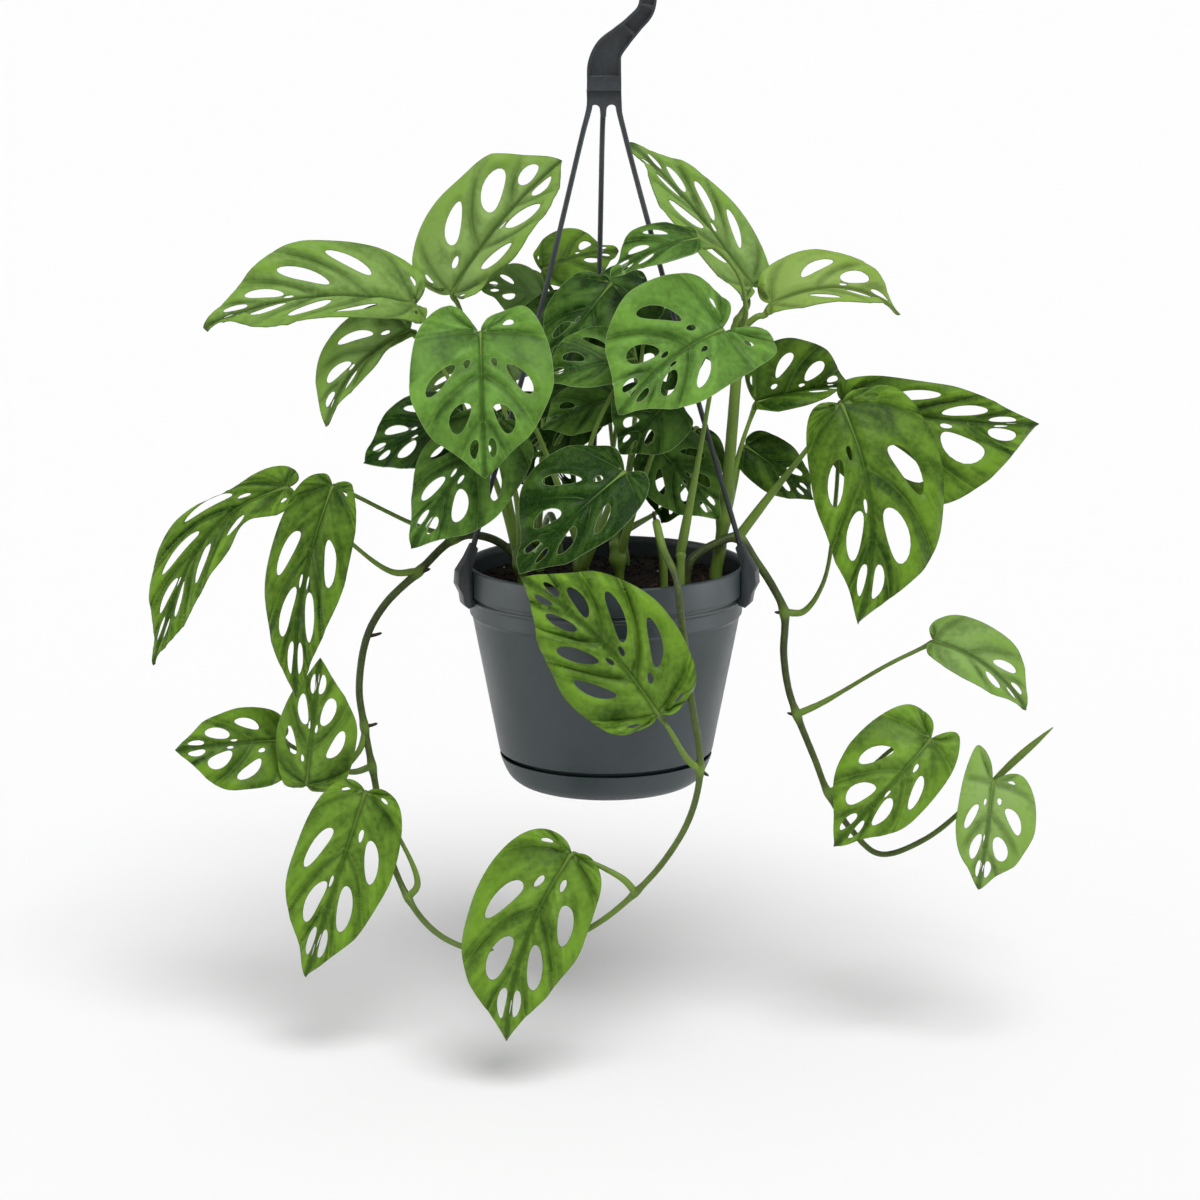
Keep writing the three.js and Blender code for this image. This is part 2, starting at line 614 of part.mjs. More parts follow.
    holes: [few, few], stalk: [[6, -11, 12], [18, 6, 90], [25, 26, 155]] },
  { name: 'leaf_crown_12', stem: 'shoot_middle', base: [16, -42, 128], tip: [-38, -50, 116],
    face: [0, -0.8, 0.6], wide: [14, 26], arch: 4,
    holes: [none, some], sheath: 2.6, stalk: [[-14, -35, 8], [-9, -40, 78], [11, -37, 119]] },
  { name: 'leaf_crown_13', stem: 'shoot_centre', base: [38, -40, 104], tip: [8, -54, 74],
    face: [-0.1, -0.9, 0.4], wide: [23, 26], arch: 4,
    holes: [few, few], sheath: 2.8, stalk: [[7, -12, 4], [24, -26, 60], [36, -32, 94]] },
  { name: 'leaf_crown_14', stem: 'shoot_centre', base: [28, -8, 73], tip: [67, -18, 29],
    face: [0.1, -0.9, 0.4], wide: [24, 24], arch: 4,
    holes: [some, some], sheath: 3, stalk: [[8, -12, 0], [16, -4, 40], [24, 0, 66]] },
  { name: 'leaf_crown_15', stem: 'shoot_middle', base: [6, -18, 102], tip: [-38, -24, 84],
    face: [0, -0.7, 0.7], wide: [18, 20], arch: 3,
    holes: [none, few], sheath: 2.4, stalk: [[-14, -35, 4], [0, -22, 50], [7, -12, 92]] },
  { name: 'leaf_crown_16', stem: 'shoot_right', base: [86, 22, 163], tip: [14, 35, 247],
    face: [0.3, -0.8, 0.5], wide: [28, 22], arch: 6, fold: [-30, -15],
    holes: [many, many], stalk: [[80, 14, 146], [84, 20, 152]] },
  { name: 'leaf_crown_17', stem: 'shoot_right', base: [98, 12, 153], tip: [177, 35, 144],
    face: [0.05, -0.4, 0.9], wide: [27, 15], arch: 15, fold: [-32, 0],
    holes: [wide, some], stalk: [[80, 12, 138], [90, 11, 146]] },
  { name: 'leaf_crown_18', stem: 'shoot_right_front', base: [67, -50, 146], tip: [7, -85, 102],
    face: [0, -0.95, 0.3], wide: [32, 44], lobe: [0.36, 0.16], arch: 6, bow: 5, fold: [-4, -4],
    holes: [some, some], sheath: 3, stalk: [[44, -30, 12], [56, -36, 80], [64, -40, 130]] },
  { name: 'leaf_crown_19', stem: 'shoot_right', base: [53, -25, 196], tip: [2, -40, 175],
    face: [-0.1, -0.5, 0.85], wide: [14, 24], arch: 5,
    holes: [few, some], stalk: [[80, 10, 138], [82, -6, 152], [78, -13, 172], [63, -19, 190]] },
  { name: 'leaf_crown_20', stem: 'shoot_right', base: [90, 15, 94], tip: [147, 30, 102],
    face: [0, -0.85, 0.55], wide: [33, 15], arch: 5, fold: [-35, -35],
    holes: [some, few], stalk: [[73, 7, 40], [82, 12, 72]] },
  { name: 'leaf_crown_21', stem: 'shoot_right', base: [84, 24, 66], tip: [126, 30, 32],
    face: [0.1, -0.9, 0.4], wide: [17, 16], arch: 4,
    holes: [few, few], stalk: [[72, 8, 24], [78, 18, 46]] },

  // inside the crown, behind the front leaves
  { name: 'leaf_crown_22', stem: 'shoot_left_back', base: [-9, 0, 102], tip: [-47, -9, 64],
    face: [-0.1, -0.85, 0.5], wide: [22, 22], arch: 4,
    holes: [few, few], stalk: [[-41, 16, 8], [-36, 7, 56], [-16, 5.5, 91]] },
  { name: 'leaf_crown_23', stem: 'shoot_centre', base: [48, 24, 141], tip: [19, 14, 97],
    face: [0, -0.9, 0.45], wide: [23, 25], arch: 4,
    holes: [few, few], stalk: [[7, -10, 6], [26, 12, 60], [44, 30, 130]] },
  { name: 'leaf_crown_24', stem: 'shoot_left_back', base: [-18, 44, 150], tip: [-52, 36, 110],
    face: [-0.1, -0.85, 0.5], wide: [22, 22], arch: 4,
    holes: [few, few], stalk: [[-41, 16, 9], [-36, 38, 70], [-22, 50, 140]] },

  // the back, and the short vine over the back rim
  { name: 'leaf_back_1', stem: 'shoot_back', base: [-55, 60, 112], tip: [-115, 110, 74],
    face: [-0.3, 0.6, 0.7], wide: [30, 30], arch: 8,
    holes: [few, few], stalk: [[9, 42, 16], [-14, 50, 60], [-42, 54, 104]] },
  { name: 'leaf_back_2', stem: 'shoot_back', base: [42, 70, 122], tip: [86, 136, 92],
    face: [0.2, 0.5, 0.8], wide: [32, 32], arch: 9,
    holes: [some, some], stalk: [[10, 42, 18], [20, 54, 70], [36, 62, 114]] },
  { name: 'leaf_back_3', stem: 'shoot_back', base: [-4, 78, 136], tip: [-22, 152, 104],
    face: [-0.05, 0.5, 0.85], wide: [32, 32], arch: 9,
    holes: [few, few], stalk: [[9, 43, 20], [2, 58, 80], [-2, 70, 126]] },
  { name: 'leaf_back_4', stem: 'shoot_back', base: [54, 50, 72], tip: [34, 58, 12],
    face: [0, -0.9, 0.4], wide: [25, 27], arch: 6,
    holes: [few, few], stalk: [[11, 42, 10], [40, 70, 24], [64, 70, 60]] },
  { name: 'leaf_back_5', stem: 'shoot_back', base: [-60, 56, 84], tip: [-20, 66, 30],
    face: [0, -0.9, 0.4], wide: [26, 26], arch: 6,
    holes: [few, few], stalk: [[8, 42, 10], [-40, 72, 30], [-70, 72, 72]] },
  { name: 'leaf_back_6', stem: 'vine_back', base: [-26, 108, -6], tip: [-46, 122, -84],
    face: [-0.1, 1, 0.25], wide: [28, 28], arch: 7,
    holes: [some, some], stalk: [[-38, 94, -12], [-38, 98, -11], [-30, 101, -3]] },
  { name: 'leaf_back_7', stem: 'vine_back', base: [-18, 108, -46], tip: [2, 122, -122],
    face: [0.1, 1, 0.25], wide: [28, 26], arch: 7,
    holes: [some, some], stalk: [[-38, 100, -58], [-32, 102, -56], [-22, 102, -44]] },
];

// ---- Stems: each is one grown piece with the stalks of its leaves ----

// Each stem's girth from root to tip, where it leaves the soil, its way, and its aerial-root nubs.
const stems = [
  { name: 'vine_left', radii: [2.6, 1.7], foot: [-52, 2],
    way: [[-56, 4, 4], [-70, 7, 13], [-89, 9, 13], [-113, 0, -7], [-132, -4, -25], [-143, -8, -44],
      [-148, -12, -75], [-145, -15, -98], [-140, -18, -125], [-131, -25, -172], [-119, -35, -199],
      [-104, -55, -212], [-84, -78, -216], [-66, -90, -214]],
    nubs: [[-113, 0, -7, 8, -2, 3], [-143, -8, -44, 9, 0, 2], [-145, -15, -98, 8, 0, 2]] },
  { name: 'vine_front', radii: [2.8, 1.7], foot: [34, -44],
    way: [[33, -48, 12], [29, -59, 35], [33, -75, 22], [40, -89, 8], [43, -98, -14], [48, -103, -55],
      [54, -104, -101],
      [48, -104, -130], [34, -104, -155], [17, -100, -176], [0, -94, -193], [-14, -92, -203]],
    nubs: [[54, -104, -101, 5, 0, -4]] },
  { name: 'vine_right', radii: [2.8, 1.3], foot: [48, -12],
    way: [[51, -10, 3], [65, -2, 11], [79, 3, 14], [90, 7, -1], [100, 4, -16], [107, 0, -31],
      [107, 0, -57], [110, -2, -78], [115, -5, -93], [126, -9, -120], [134, -12, -140],
      [148, -15, -162], [165, -20, -176], [192, -20, -167], [222, -21, -141], [245, -23, -117],
      [267, -25, -96]],
    nubs: [[107, 0, -31, -6, 0, 0], [115, -5, -93, -6, 0, 1]] },
  { name: 'vine_back', radii: [2.4, 1.6], foot: [-28, 56],
    way: [[-30, 62, 4], [-34, 76, 14], [-38, 90, 4], [-38, 97, -20], [-38, 100, -58], [-36, 100, -96]] },
  { name: 'shoot_left', radii: [3, 2.4], foot: [-50, -16], way: [[-51, -15, 4], [-53, -12, 14]] },
  { name: 'shoot_left_back', radii: [3, 2.4], foot: [-40, 24], way: [[-41, 20, 6], [-41, 16, 18]] },
  { name: 'shoot_middle', radii: [3, 2.4], foot: [-14, -34], way: [[-15, -35, 6], [-15, -35, 18]] },
  { name: 'shoot_centre', radii: [3, 2.4], foot: [8, -12], way: [[7, -12, 4], [6, -11, 18]] },
  { name: 'shoot_right_front', radii: [3, 2.4], foot: [44, -34], way: [[44, -32, 4], [44, -30, 14]] },
  { name: 'shoot_right', radii: [4, 3], foot: [66, 6],
    way: [[68, 6, 4], [72, 7, 40], [76, 9, 90], [80, 13, 148]] },
  { name: 'shoot_back', radii: [3, 2.4], foot: [12, 40], way: [[10, 42, 6], [9, 42, 22]] },
];

// The stalk arrives from behind the blade and stops just short of its underside.
function stalkOf(leaf) {
  const { face } = bladeSurface(leaf);
  const stop = stalkRadius + bladeThickness / 2 + stalkGap;
  const end = vec(leaf.base).addScaledVector(face, -stop);
  const arrival = vec(leaf.stalk.at(-1)).sub(end).setLength(stalkRise);
  const before = end.clone().addScaledVector(face, -stalkRise).add(arrival);
  const way = [...leaf.stalk, before.toArray(), end.toArray()];
  return tube(way, leaf.sheath ?? stalkRadius * 1.25, stalkRadius, stalkSides, stalkStep);
}

function nub([x, y, z, dx, dy, dz]) {
  return tube([[x, y, z], [x + dx * 0.5, y + dy * 0.5, z + dz * 0.5], [x + dx, y + dy, z + dz]],
    ...nubRadii, stalkSides, nubStep);
}

function stemPiece(stem) {
  const [x, y] = stem.foot;
  const foot = [[x, y, soilZ - footDepth], [x, y, soilZ - 4], [x, y, soilZ + 5]];
  const [startRadius, endRadius] = stem.radii;
  const main = tube([...foot, ...stem.way], startRadius, endRadius, stemSides, stemStep);
  const stalks = leaves.filter((leaf) => leaf.stem === stem.name).map(stalkOf);
  const nubs = (stem.nubs ?? []).map(nub);
  const material = stem.name.startsWith('vine') ? vineGreen : stalkGreen;
  return piece(stem.name, joined([main, ...stalks, ...nubs]), material);
}

// ---- The whole plant, hung from the hook ----

const plant = new THREE.Group();
plant.position.z = -hookToRim;
plant.add(pot(), saucer(), pottingSoil(stems), hanger());
for (const stem of stems) plant.add(stemPiece(stem));
for (const leaf of leaves) plant.add(piece(leaf.name, blade(leaf), leafGreen));

const hangingPlant = new THREE.Group();
hangingPlant.add(plant);

export default hangingPlant;
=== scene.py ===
import math
import random

import bmesh
import bpy
import numpy as np
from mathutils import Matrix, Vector, geometry


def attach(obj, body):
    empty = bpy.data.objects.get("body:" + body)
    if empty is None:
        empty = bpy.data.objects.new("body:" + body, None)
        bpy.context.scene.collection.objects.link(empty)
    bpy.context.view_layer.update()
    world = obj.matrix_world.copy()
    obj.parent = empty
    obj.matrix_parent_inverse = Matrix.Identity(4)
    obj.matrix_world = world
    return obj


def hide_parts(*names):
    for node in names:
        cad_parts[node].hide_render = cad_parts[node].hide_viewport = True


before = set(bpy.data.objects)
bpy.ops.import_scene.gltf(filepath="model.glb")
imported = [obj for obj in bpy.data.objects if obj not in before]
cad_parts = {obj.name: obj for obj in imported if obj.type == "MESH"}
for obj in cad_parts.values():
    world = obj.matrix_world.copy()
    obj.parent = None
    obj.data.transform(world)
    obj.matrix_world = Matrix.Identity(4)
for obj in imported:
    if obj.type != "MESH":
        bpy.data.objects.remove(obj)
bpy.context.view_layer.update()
print("frame loaded:", len(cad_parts), "nodes")

hookToRim = 374  # mm from the hook's crown down to the pot's rim; sizes below count z from that rim
fineStep = 1.7  # mm between neighbouring points of a leaf
weldGap = 0.00001  # metres


def toFrame(points):
    # millimetres about the rim to metres about the hook
    return (np.asarray(points, float) + [0, 0, -hookToRim]) * 0.001


def newPiece(name, points, faces=(), edges=(), material=None):
    mesh = bpy.data.meshes.new(name)
    mesh.from_pydata([tuple(p) for p in points], [tuple(e) for e in edges], [tuple(f) for f in faces])
    if material:
        mesh.materials.append(material)
    made = bpy.data.objects.new(name, mesh)
    bpy.context.scene.collection.objects.link(made)
    return made


def store(piece, name, kind, values):
    made = piece.data.attributes.new(name, kind, "POINT")
    field = "vector" if kind == "FLOAT_VECTOR" else "value"
    made.data.foreach_set(field, np.asarray(values, np.float32).ravel())


# node helpers

def put(tree, kind, inputs=None, **settings):
    made = tree.nodes.new(kind)
    for key, value in settings.items():
        setattr(made, key, value)
    for key, value in (inputs or {}).items():
        if isinstance(value, bpy.types.NodeSocket):
            tree.links.new(value, made.inputs[key])
        else:
            made.inputs[key].default_value = value
    return made


def calc(tree, operation, *values, clamp=False):
    return put(tree, "ShaderNodeMath", dict(enumerate(values)), operation=operation,
               use_clamp=clamp).outputs[0]


def times(tree, first, *others):
    for other in others:
        first = calc(tree, "MULTIPLY", first, other)
    return first


def plus(tree, first, other, clamp=False):
    return calc(tree, "ADD", first, other, clamp=clamp)


def minus(tree, first, other):
    return calc(tree, "SUBTRACT", first, other)


def ramp(tree, value, start, end, low=0.0, high=1.0, soft=True):
    # low at start and below, high at end and above
    ends = {0: value, 1: start, 2: end, 3: low, 4: high}
    return put(tree, "ShaderNodeMapRange", ends,
               interpolation_type="SMOOTHSTEP" if soft else "LINEAR").outputs[0]


def blendColour(tree, share, under, over, kind="MIX"):
    return put(tree, "ShaderNodeMix", {0: share, 6: under, 7: over},
               data_type="RGBA", blend_type=kind).outputs[2]


def noise(tree, place, scale, **more):
    return put(tree, "ShaderNodeTexNoise", {"Vector": place, "Scale": scale, **more}).outputs[0]


def newTree(name, kind, inputs, outputs):
    tree = bpy.data.node_groups.new(name, kind)
    for socketName, socketKind, value in inputs:
        made = tree.interface.new_socket(socketName, in_out="INPUT", socket_type="NodeSocket" + socketKind)
        if value is not None:
            made.default_value = value
    for socketName, socketKind in outputs:
        tree.interface.new_socket(socketName, in_out="OUTPUT", socket_type="NodeSocket" + socketKind)
    return tree, tree.nodes.new("NodeGroupInput").outputs, tree.nodes.new("NodeGroupOutput").inputs


def settle(piece):
    # makes a piece's modifiers final
    bare = piece.data
    shown = piece.evaluated_get(bpy.context.evaluated_depsgraph_get())
    made = bpy.data.meshes.new_from_object(shown)
    piece.modifiers.clear()
    piece.data = made
    bpy.data.meshes.remove(bare)
    made.name = piece.name
    return piece


def grow(piece, tree, values):
    # runs a geometry tree on a piece and keeps the result as its plain mesh
    modifier = piece.modifiers.new(tree.name, "NODES")
    modifier.node_group = tree
    for item in tree.interface.items_tree:
        if item.in_out == "INPUT" and item.name in values:
            modifier[item.identifier] = values[item.name]
    return settle(piece)


def combine(name, pieces):
    # several pieces as one mesh
    first = pieces[0]
    bpy.ops.object.select_all(action="DESELECT")
    for piece in pieces:
        piece.select_set(True)
    bpy.context.view_layer.objects.active = first
    bpy.ops.object.join()
    first.name = name
    first.data.name = name
    return first


def cutOut(piece, cutter):
    modifier = piece.modifiers.new("cut", "BOOLEAN")
    modifier.operation = "DIFFERENCE"
    modifier.solver = "EXACT"
    modifier.object = cutter
    settle(piece)
    bpy.data.objects.remove(cutter)
    mesh = bmesh.new()  # points that the cut left too close together are merged
    mesh.from_mesh(piece.data)
    bmesh.ops.remove_doubles(mesh, verts=mesh.verts, dist=weldGap)
    bmesh.ops.dissolve_degenerate(mesh, edges=mesh.edges, dist=weldGap)
    mesh.to_mesh(piece.data)
    mesh.free()
    return piece


def prism(name, near, far):
    # a closed piece between two outlines with the same number of points, its faces outwards
    count = len(near)
    faces = [tuple(range(count)), tuple(range(2 * count - 1, count - 1, -1))]
    faces += [(i, count + i, count + (i + 1) % count, (i + 1) % count) for i in range(count)]
    made = newPiece(name, toFrame([*near, *far]), faces)
    mesh = bmesh.new()
    mesh.from_mesh(made.data)
    bmesh.ops.recalc_face_normals(mesh, faces=mesh.faces)
    mesh.to_mesh(made.data)
    mesh.free()
    return made


# shared surface effects

def mottleGroup():
    # soft cloudy patches with a finer grain over them, about 0 to 1
    tree, given, result = newTree("mottle", "ShaderNodeTree",
                                  [("Vector", "Vector", None), ("Patch Size", "Float", 40.0),
                                   ("Grain Size", "Float", 400.0), ("Grain Share", "Float", 0.3)],
                                  [("Mask", "Float")])
    patches = noise(tree, given["Vector"], given["Patch Size"], Detail=3.0, Roughness=0.55)
    grain = noise(tree, given["Vector"], given["Grain Size"], Detail=2.0)
    mixed = put(tree, "ShaderNodeMix", {0: given["Grain Share"], 2: patches, 3: grain}).outputs[0]
    tree.links.new(ramp(tree, mixed, 0.3, 0.7), result["Mask"])
    return tree


def grainGroup():
    # height of a fine even grain, for bump
    tree, given, result = newTree("fineGrain", "ShaderNodeTree",
                                  [("Vector", "Vector", None), ("Size", "Float", 900.0),
                                   ("Scratch", "Float", 0.3)],
                                  [("Height", "Float")])
    dots = put(tree, "ShaderNodeTexVoronoi", {"Vector": given["Vector"], "Scale": given["Size"]}).outputs[0]
    wide = noise(tree, given["Vector"], 60.0, Detail=4.0)
    tree.links.new(plus(tree, dots, times(tree, wide, given["Scratch"])), result["Height"])
    return tree


mottle = mottleGroup()
fineGrain = grainGroup()


def newMaterial(name, roughness, **fixed):
    made = bpy.data.materials.new(name)
    made.use_nodes = True
    tree = made.node_tree
    shader = tree.nodes["Principled BSDF"]
    shader.inputs["Roughness"].default_value = roughness
    for key, value in fixed.items():
        shader.inputs[key].default_value = value
    place = put(tree, "ShaderNodeTexCoord").outputs["Object"]
    return made, tree, shader, place


def groupNode(tree, group, inputs):
    return put(tree, "ShaderNodeGroup", inputs, node_tree=group).outputs[0]


def clouded(tree, place, patch, grain, share):
    return groupNode(tree, mottle, {"Vector": place, "Patch Size": patch, "Grain Size": grain,
                                    "Grain Share": share})


def feed(tree, shader, **links):
    for key, value in links.items():
        tree.links.new(value, shader.inputs[key.replace("_", " ")])


def bump(tree, height, distance, strength=1.0, under=None):
    inputs = {"Height": height, "Distance": distance, "Strength": strength}
    if under is not None:
        inputs["Normal"] = under
    return put(tree, "ShaderNodeBump", inputs).outputs[0]


potFinish = {
    "dark": (0.026, 0.038, 0.043, 1), "light": (0.038, 0.053, 0.059, 1), "clouds": (18.0, 240.0, 0.25),
    "rough": (0.36, 0.46), "grain": 1500.0, "scratch": 0.6, "relief": 0.00008,
}
hangerFinish = {
    "dark": (0.017, 0.021, 0.024, 1), "light": (0.033, 0.041, 0.046, 1), "clouds": (30.0, 500.0, 0.4),
    "rough": (0.36, 0.5), "grain": 2200.0, "scratch": 0.5, "relief": 0.00006,
}


def plasticMaterial(name, finish):
    made, tree, shader, place = newMaterial(name, finish["rough"][0])
    clouds = clouded(tree, place, *finish["clouds"])
    colour = blendColour(tree, clouds, finish["dark"], finish["light"])
    rough = ramp(tree, clouds, 0, 1, *finish["rough"])
    grain = groupNode(tree, fineGrain, {"Vector": place, "Size": finish["grain"],
                                        "Scratch": finish["scratch"]})
    feed(tree, shader, Base_Color=colour, Roughness=rough, Normal=bump(tree, grain, finish["relief"], 0.5))
    return made


peatFinish = {"dark": (0.004, 0.003, 0.0025, 1), "light": (0.022, 0.014, 0.009, 1)}


def peatMaterial():
    made, tree, shader, place = newMaterial("peat", 0.92, **{"Specular IOR Level": 0.12})
    clouds = clouded(tree, place, 160.0, 900.0, 0.5)
    fibres = noise(tree, place, 420.0, Detail=6.0, Roughness=0.75)
    colour = blendColour(tree, clouds, peatFinish["dark"], peatFinish["light"])
    feed(tree, shader, Base_Color=colour, Normal=bump(tree, fibres, 0.0016, 0.9))
    return made


def chipMaterial(name, dark, light):
    made, tree, shader, place = newMaterial(name, 0.85, **{"Specular IOR Level": 0.2})
    clouds = clouded(tree, place, 220.0, 1400.0, 0.45)
    colour = blendColour(tree, clouds, dark, light)
    fibres = noise(tree, place, 900.0, Detail=4.0)
    feed(tree, shader, Base_Color=colour, Normal=bump(tree, fibres, 0.0005, 0.8))
    return made


leafFinish = {
    "dark": (0.004, 0.026, 0.001, 1), "light": (0.180, 0.335, 0.036, 1),
    "paleSheen": (0.240, 0.385, 0.105, 1), "shaded": (0.158, 0.335, 0.056, 1),
    "margin": (0.165, 0.330, 0.020, 1), "vein": (0.210, 0.335, 0.075, 1),
    "edge": (0.078, 0.100, 0.045, 1), "paleEdgeHighlight": (0.290, 0.400, 0.190, 1),
    "under": (0.130, 0.240, 0.065, 1), "young": (0.360, 0.430, 0.030, 1),
    "grooveShadeWidth": 3.6, "veinWidth": 0.32, "edgeWidth": 0.45,
}


streakScale = 0.13  # of the faint streaks and puckers along a leaf's side veins, per mm


def leafMaterial():
    made, tree, shader, place = newMaterial("leafBlade", 0.42, **{"Specular IOR Level": 0.08})

    def read(name, output="Vector"):
        return put(tree, "ShaderNodeAttribute", attribute_name=name).outputs[output]

    midrib, side, edge = put(tree, "ShaderNodeSeparateXYZ", {0: read("veins")}).outputs
    panel, reach, share = put(tree, "ShaderNodeSeparateXYZ", {0: read("spot")}).outputs
    toneAndShade, below, flat, inner = read("toneAndShade", "Fac"), read("below", "Fac"), read("flat"), read("inner", "Fac")
    clouds = clouded(tree, place, 60.0, 300.0, 0.4)
    # a leaf's tone, partly its own green and partly painted shade deep in the crown, clouded; lighter
    # between the veins and on the puckers' crests, a painted light on the quilted humps, and yellower
    # towards the margin, partly the leaf's own colour and partly a painted highlight
    streaks = ramp(tree, noise(tree, read("flow"), streakScale, Detail=2.0), 0.36, 0.64)
    between = calc(tree, "SINE", times(tree, panel, math.pi))
    between = times(tree, plus(tree, between, streaks), 0.5)
    outer = ramp(tree, reach, 0.25, 0.95)
    change = plus(tree, times(tree, minus(tree, clouds, 0.5), 0.42),
                  times(tree, minus(tree, between, 0.5), 0.6))
    shade = plus(tree, toneAndShade, times(tree, change, ramp(tree, toneAndShade, 0.0, 0.5, 0.42, 1.0)), clamp=True)
    # the lightest leaves turn paler and bluer: a painted sheen of the white sky
    lit = blendColour(tree, ramp(tree, toneAndShade, 0.5, 0.95), leafFinish["light"], leafFinish["paleSheen"])
    # painted shade: the inner crown leaves take a cooler, shaded green at their light end
    lit = blendColour(tree, inner, lit, leafFinish["shaded"])
    colour = blendColour(tree, shade, leafFinish["dark"], lit)
    warmHighlight = times(tree, outer, between, ramp(tree, shade, 0.0, 0.7, 0.15, 0.6),
                 ramp(tree, inner, 0, 1, 1.0, 0.35))
    colour = blendColour(tree, warmHighlight, colour, leafFinish["margin"])
    colour = blendColour(tree, ramp(tree, toneAndShade, 0.9, 1.35), colour, leafFinish["young"])
    # a faint net of fine veins
    net = put(tree, "ShaderNodeTexVoronoi", {"Vector": flat, "Scale": 0.4, "Randomness": 0.9},
              feature="DISTANCE_TO_EDGE").outputs[0]
    netLine = ramp(tree, net, 0.0, 0.10, 1.0, 0.0)
    fineNet = put(tree, "ShaderNodeTexVoronoi", {"Vector": flat, "Scale": 1.25, "Randomness": 1.0},
                  feature="DISTANCE_TO_EDGE").outputs[0]
    fineLine = ramp(tree, fineNet, 0.0, 0.12, 1.0, 0.0)
    netShare = plus(tree, times(tree, netLine, 0.07), times(tree, fineLine, 0.03))
    colour = blendColour(tree, netShare, colour, leafFinish["vein"])
    # painted shade darkens the grooves along the midrib and the side veins; the veins themselves are pale and
    # thin
    fade = ramp(tree, reach, 0.72, 1.0, 1.0, 0.15)
    groove = times(tree, ramp(tree, side, 0.1, leafFinish["grooveShadeWidth"], 0.4, 0.0), fade)
    groove = calc(tree, "MAXIMUM", groove, ramp(tree, midrib, 0.3, 3.0, 0.6, 0.0))
    colour = blendColour(tree, groove, colour, leafFinish["dark"])
    sideLine = times(tree, ramp(tree, side, 0.04, leafFinish["veinWidth"], 1.0, 0.0),
                     ramp(tree, reach, 0.1, 0.8, 0.42, 0.0))
    midLine = times(tree, ramp(tree, midrib, 0.12, 0.6, 1.0, 0.0), ramp(tree, share, 0.0, 0.5, 0.5, 0.05))
    colour = blendColour(tree, calc(tree, "MAXIMUM", sideLine, midLine), colour, leafFinish["vein"])
    # a thin dull rim along the edge and round the holes; on the inner crown leaves it is pale, a painted
    # highlight where the edge catches the light
    rim = times(tree, ramp(tree, edge, 0.05, leafFinish["edgeWidth"], 1.0, 0.0), 0.5)
    rimColour = blendColour(tree, inner, leafFinish["edge"], leafFinish["paleEdgeHighlight"])
    colour = blendColour(tree, rim, colour, rimColour)
    # the underside is duller and rougher
    underShade = blendColour(tree, times(tree, clouds, 0.45), leafFinish["under"], colour)
    colour = blendColour(tree, times(tree, below, 0.72), colour, underShade)
    rough = plus(tree, ramp(tree, clouds, 0, 1, 0.29, 0.42), times(tree, below, 0.2))
    height = times(tree, plus(tree, netLine, times(tree, fineLine, 0.4)), -0.5)
    pores = groupNode(tree, fineGrain, {"Vector": place, "Size": 1600.0, "Scratch": 1.0})
    relief = bump(tree, height, 0.00014, 0.5)
    relief = bump(tree, pores, 0.00007, 0.3, relief)
    feed(tree, shader, Base_Color=colour, Roughness=rough, Normal=relief)
    return made


stemFinish = {
    "vine": (0.045, 0.058, 0.020, 1), "fresh": (0.150, 0.250, 0.036, 1),
    "bark": (0.030, 0.022, 0.014, 1), "streak": (0.230, 0.300, 0.110, 1),
}


def stemMaterial(name, greener):
    made, tree, shader, place = newMaterial(name, 0.5, **{"Specular IOR Level": 0.22})
    skin = put(tree, "ShaderNodeAttribute", attribute_name="skin").outputs["Vector"]
    freshness, bark, _ = put(tree, "ShaderNodeSeparateXYZ", {0: skin}).outputs
    clouds = clouded(tree, place, 70.0, 700.0, 0.4)
    change = times(tree, minus(tree, clouds, 0.5 - greener), 0.4)
    fresh = plus(tree, freshness, change, clamp=True)
    colour = blendColour(tree, fresh, stemFinish["vine"], stemFinish["fresh"])
    streaks = noise(tree, place, 900.0, Detail=3.0)
    colour = blendColour(tree, ramp(tree, streaks, 0.55, 0.75, 0.0, 0.2), colour, stemFinish["streak"])
    colour = blendColour(tree, times(tree, bark, 0.85), colour, stemFinish["bark"])
    rough = ramp(tree, bark, 0, 1, 0.4, 0.8)
    feed(tree, shader, Base_Color=colour, Roughness=rough, Normal=bump(tree, streaks, 0.0003, 0.5))
    return made


potPlastic = plasticMaterial("potPlastic", potFinish)
hangerPlastic = plasticMaterial("hangerPlastic", hangerFinish)
peat = peatMaterial()
barkChip = chipMaterial("barkChip", (0.012, 0.007, 0.004, 1), (0.060, 0.032, 0.016, 1))
paleSpeck = chipMaterial("paleSpeck", (0.32, 0.30, 0.25, 1), (0.62, 0.60, 0.54, 1))
leafBlade = leafMaterial()
vineSkin = stemMaterial("vineSkin", 0.0)
stalkSkin = stemMaterial("stalkSkin", 0.25)
print("materials ready")


# leaf blades

bladeSizes = {
    "thickness": 0.5, "quilt": 2.4, "groove": 0.5, "keel": 0.9, "sideKeel": 0.28, "pucker": 1.8,
    "wave": 0.075, "waveRise": 2.2, "waveTurns": 9, "ripple": 0.024, "usualLength": 95,
}
bladeOutline = {
    "widestAt": 0.36, "widestTurn": 0.4,  # as shares of the length and of the way round the edge
    "lobeDepth": (1.35, 1.5), "shoulder": (0.66, 0.86), "tipPinch": 0.15, "tipPinchFrom": 0.5,
    "waistAt": 0.2, "waistReach": 0.13, "swell": (11, 23),
}
smallHole = {"from": 0.38, "long": 0.1, "span": 0.2, "centre": (0.36, 0.6), "chance": 0.5,
             "leastStart": 0.22, "leastWidth": 18}  # between the midrib and a main hole
lobeHole = {"reach": (0.42, 0.62), "span": 0.3, "chance": 0.6, "leastWidth": 24}
holeShape = {"points": 24, "wobble": (0.05, 0.03), "egg": 0.2, "slide": 0.02}
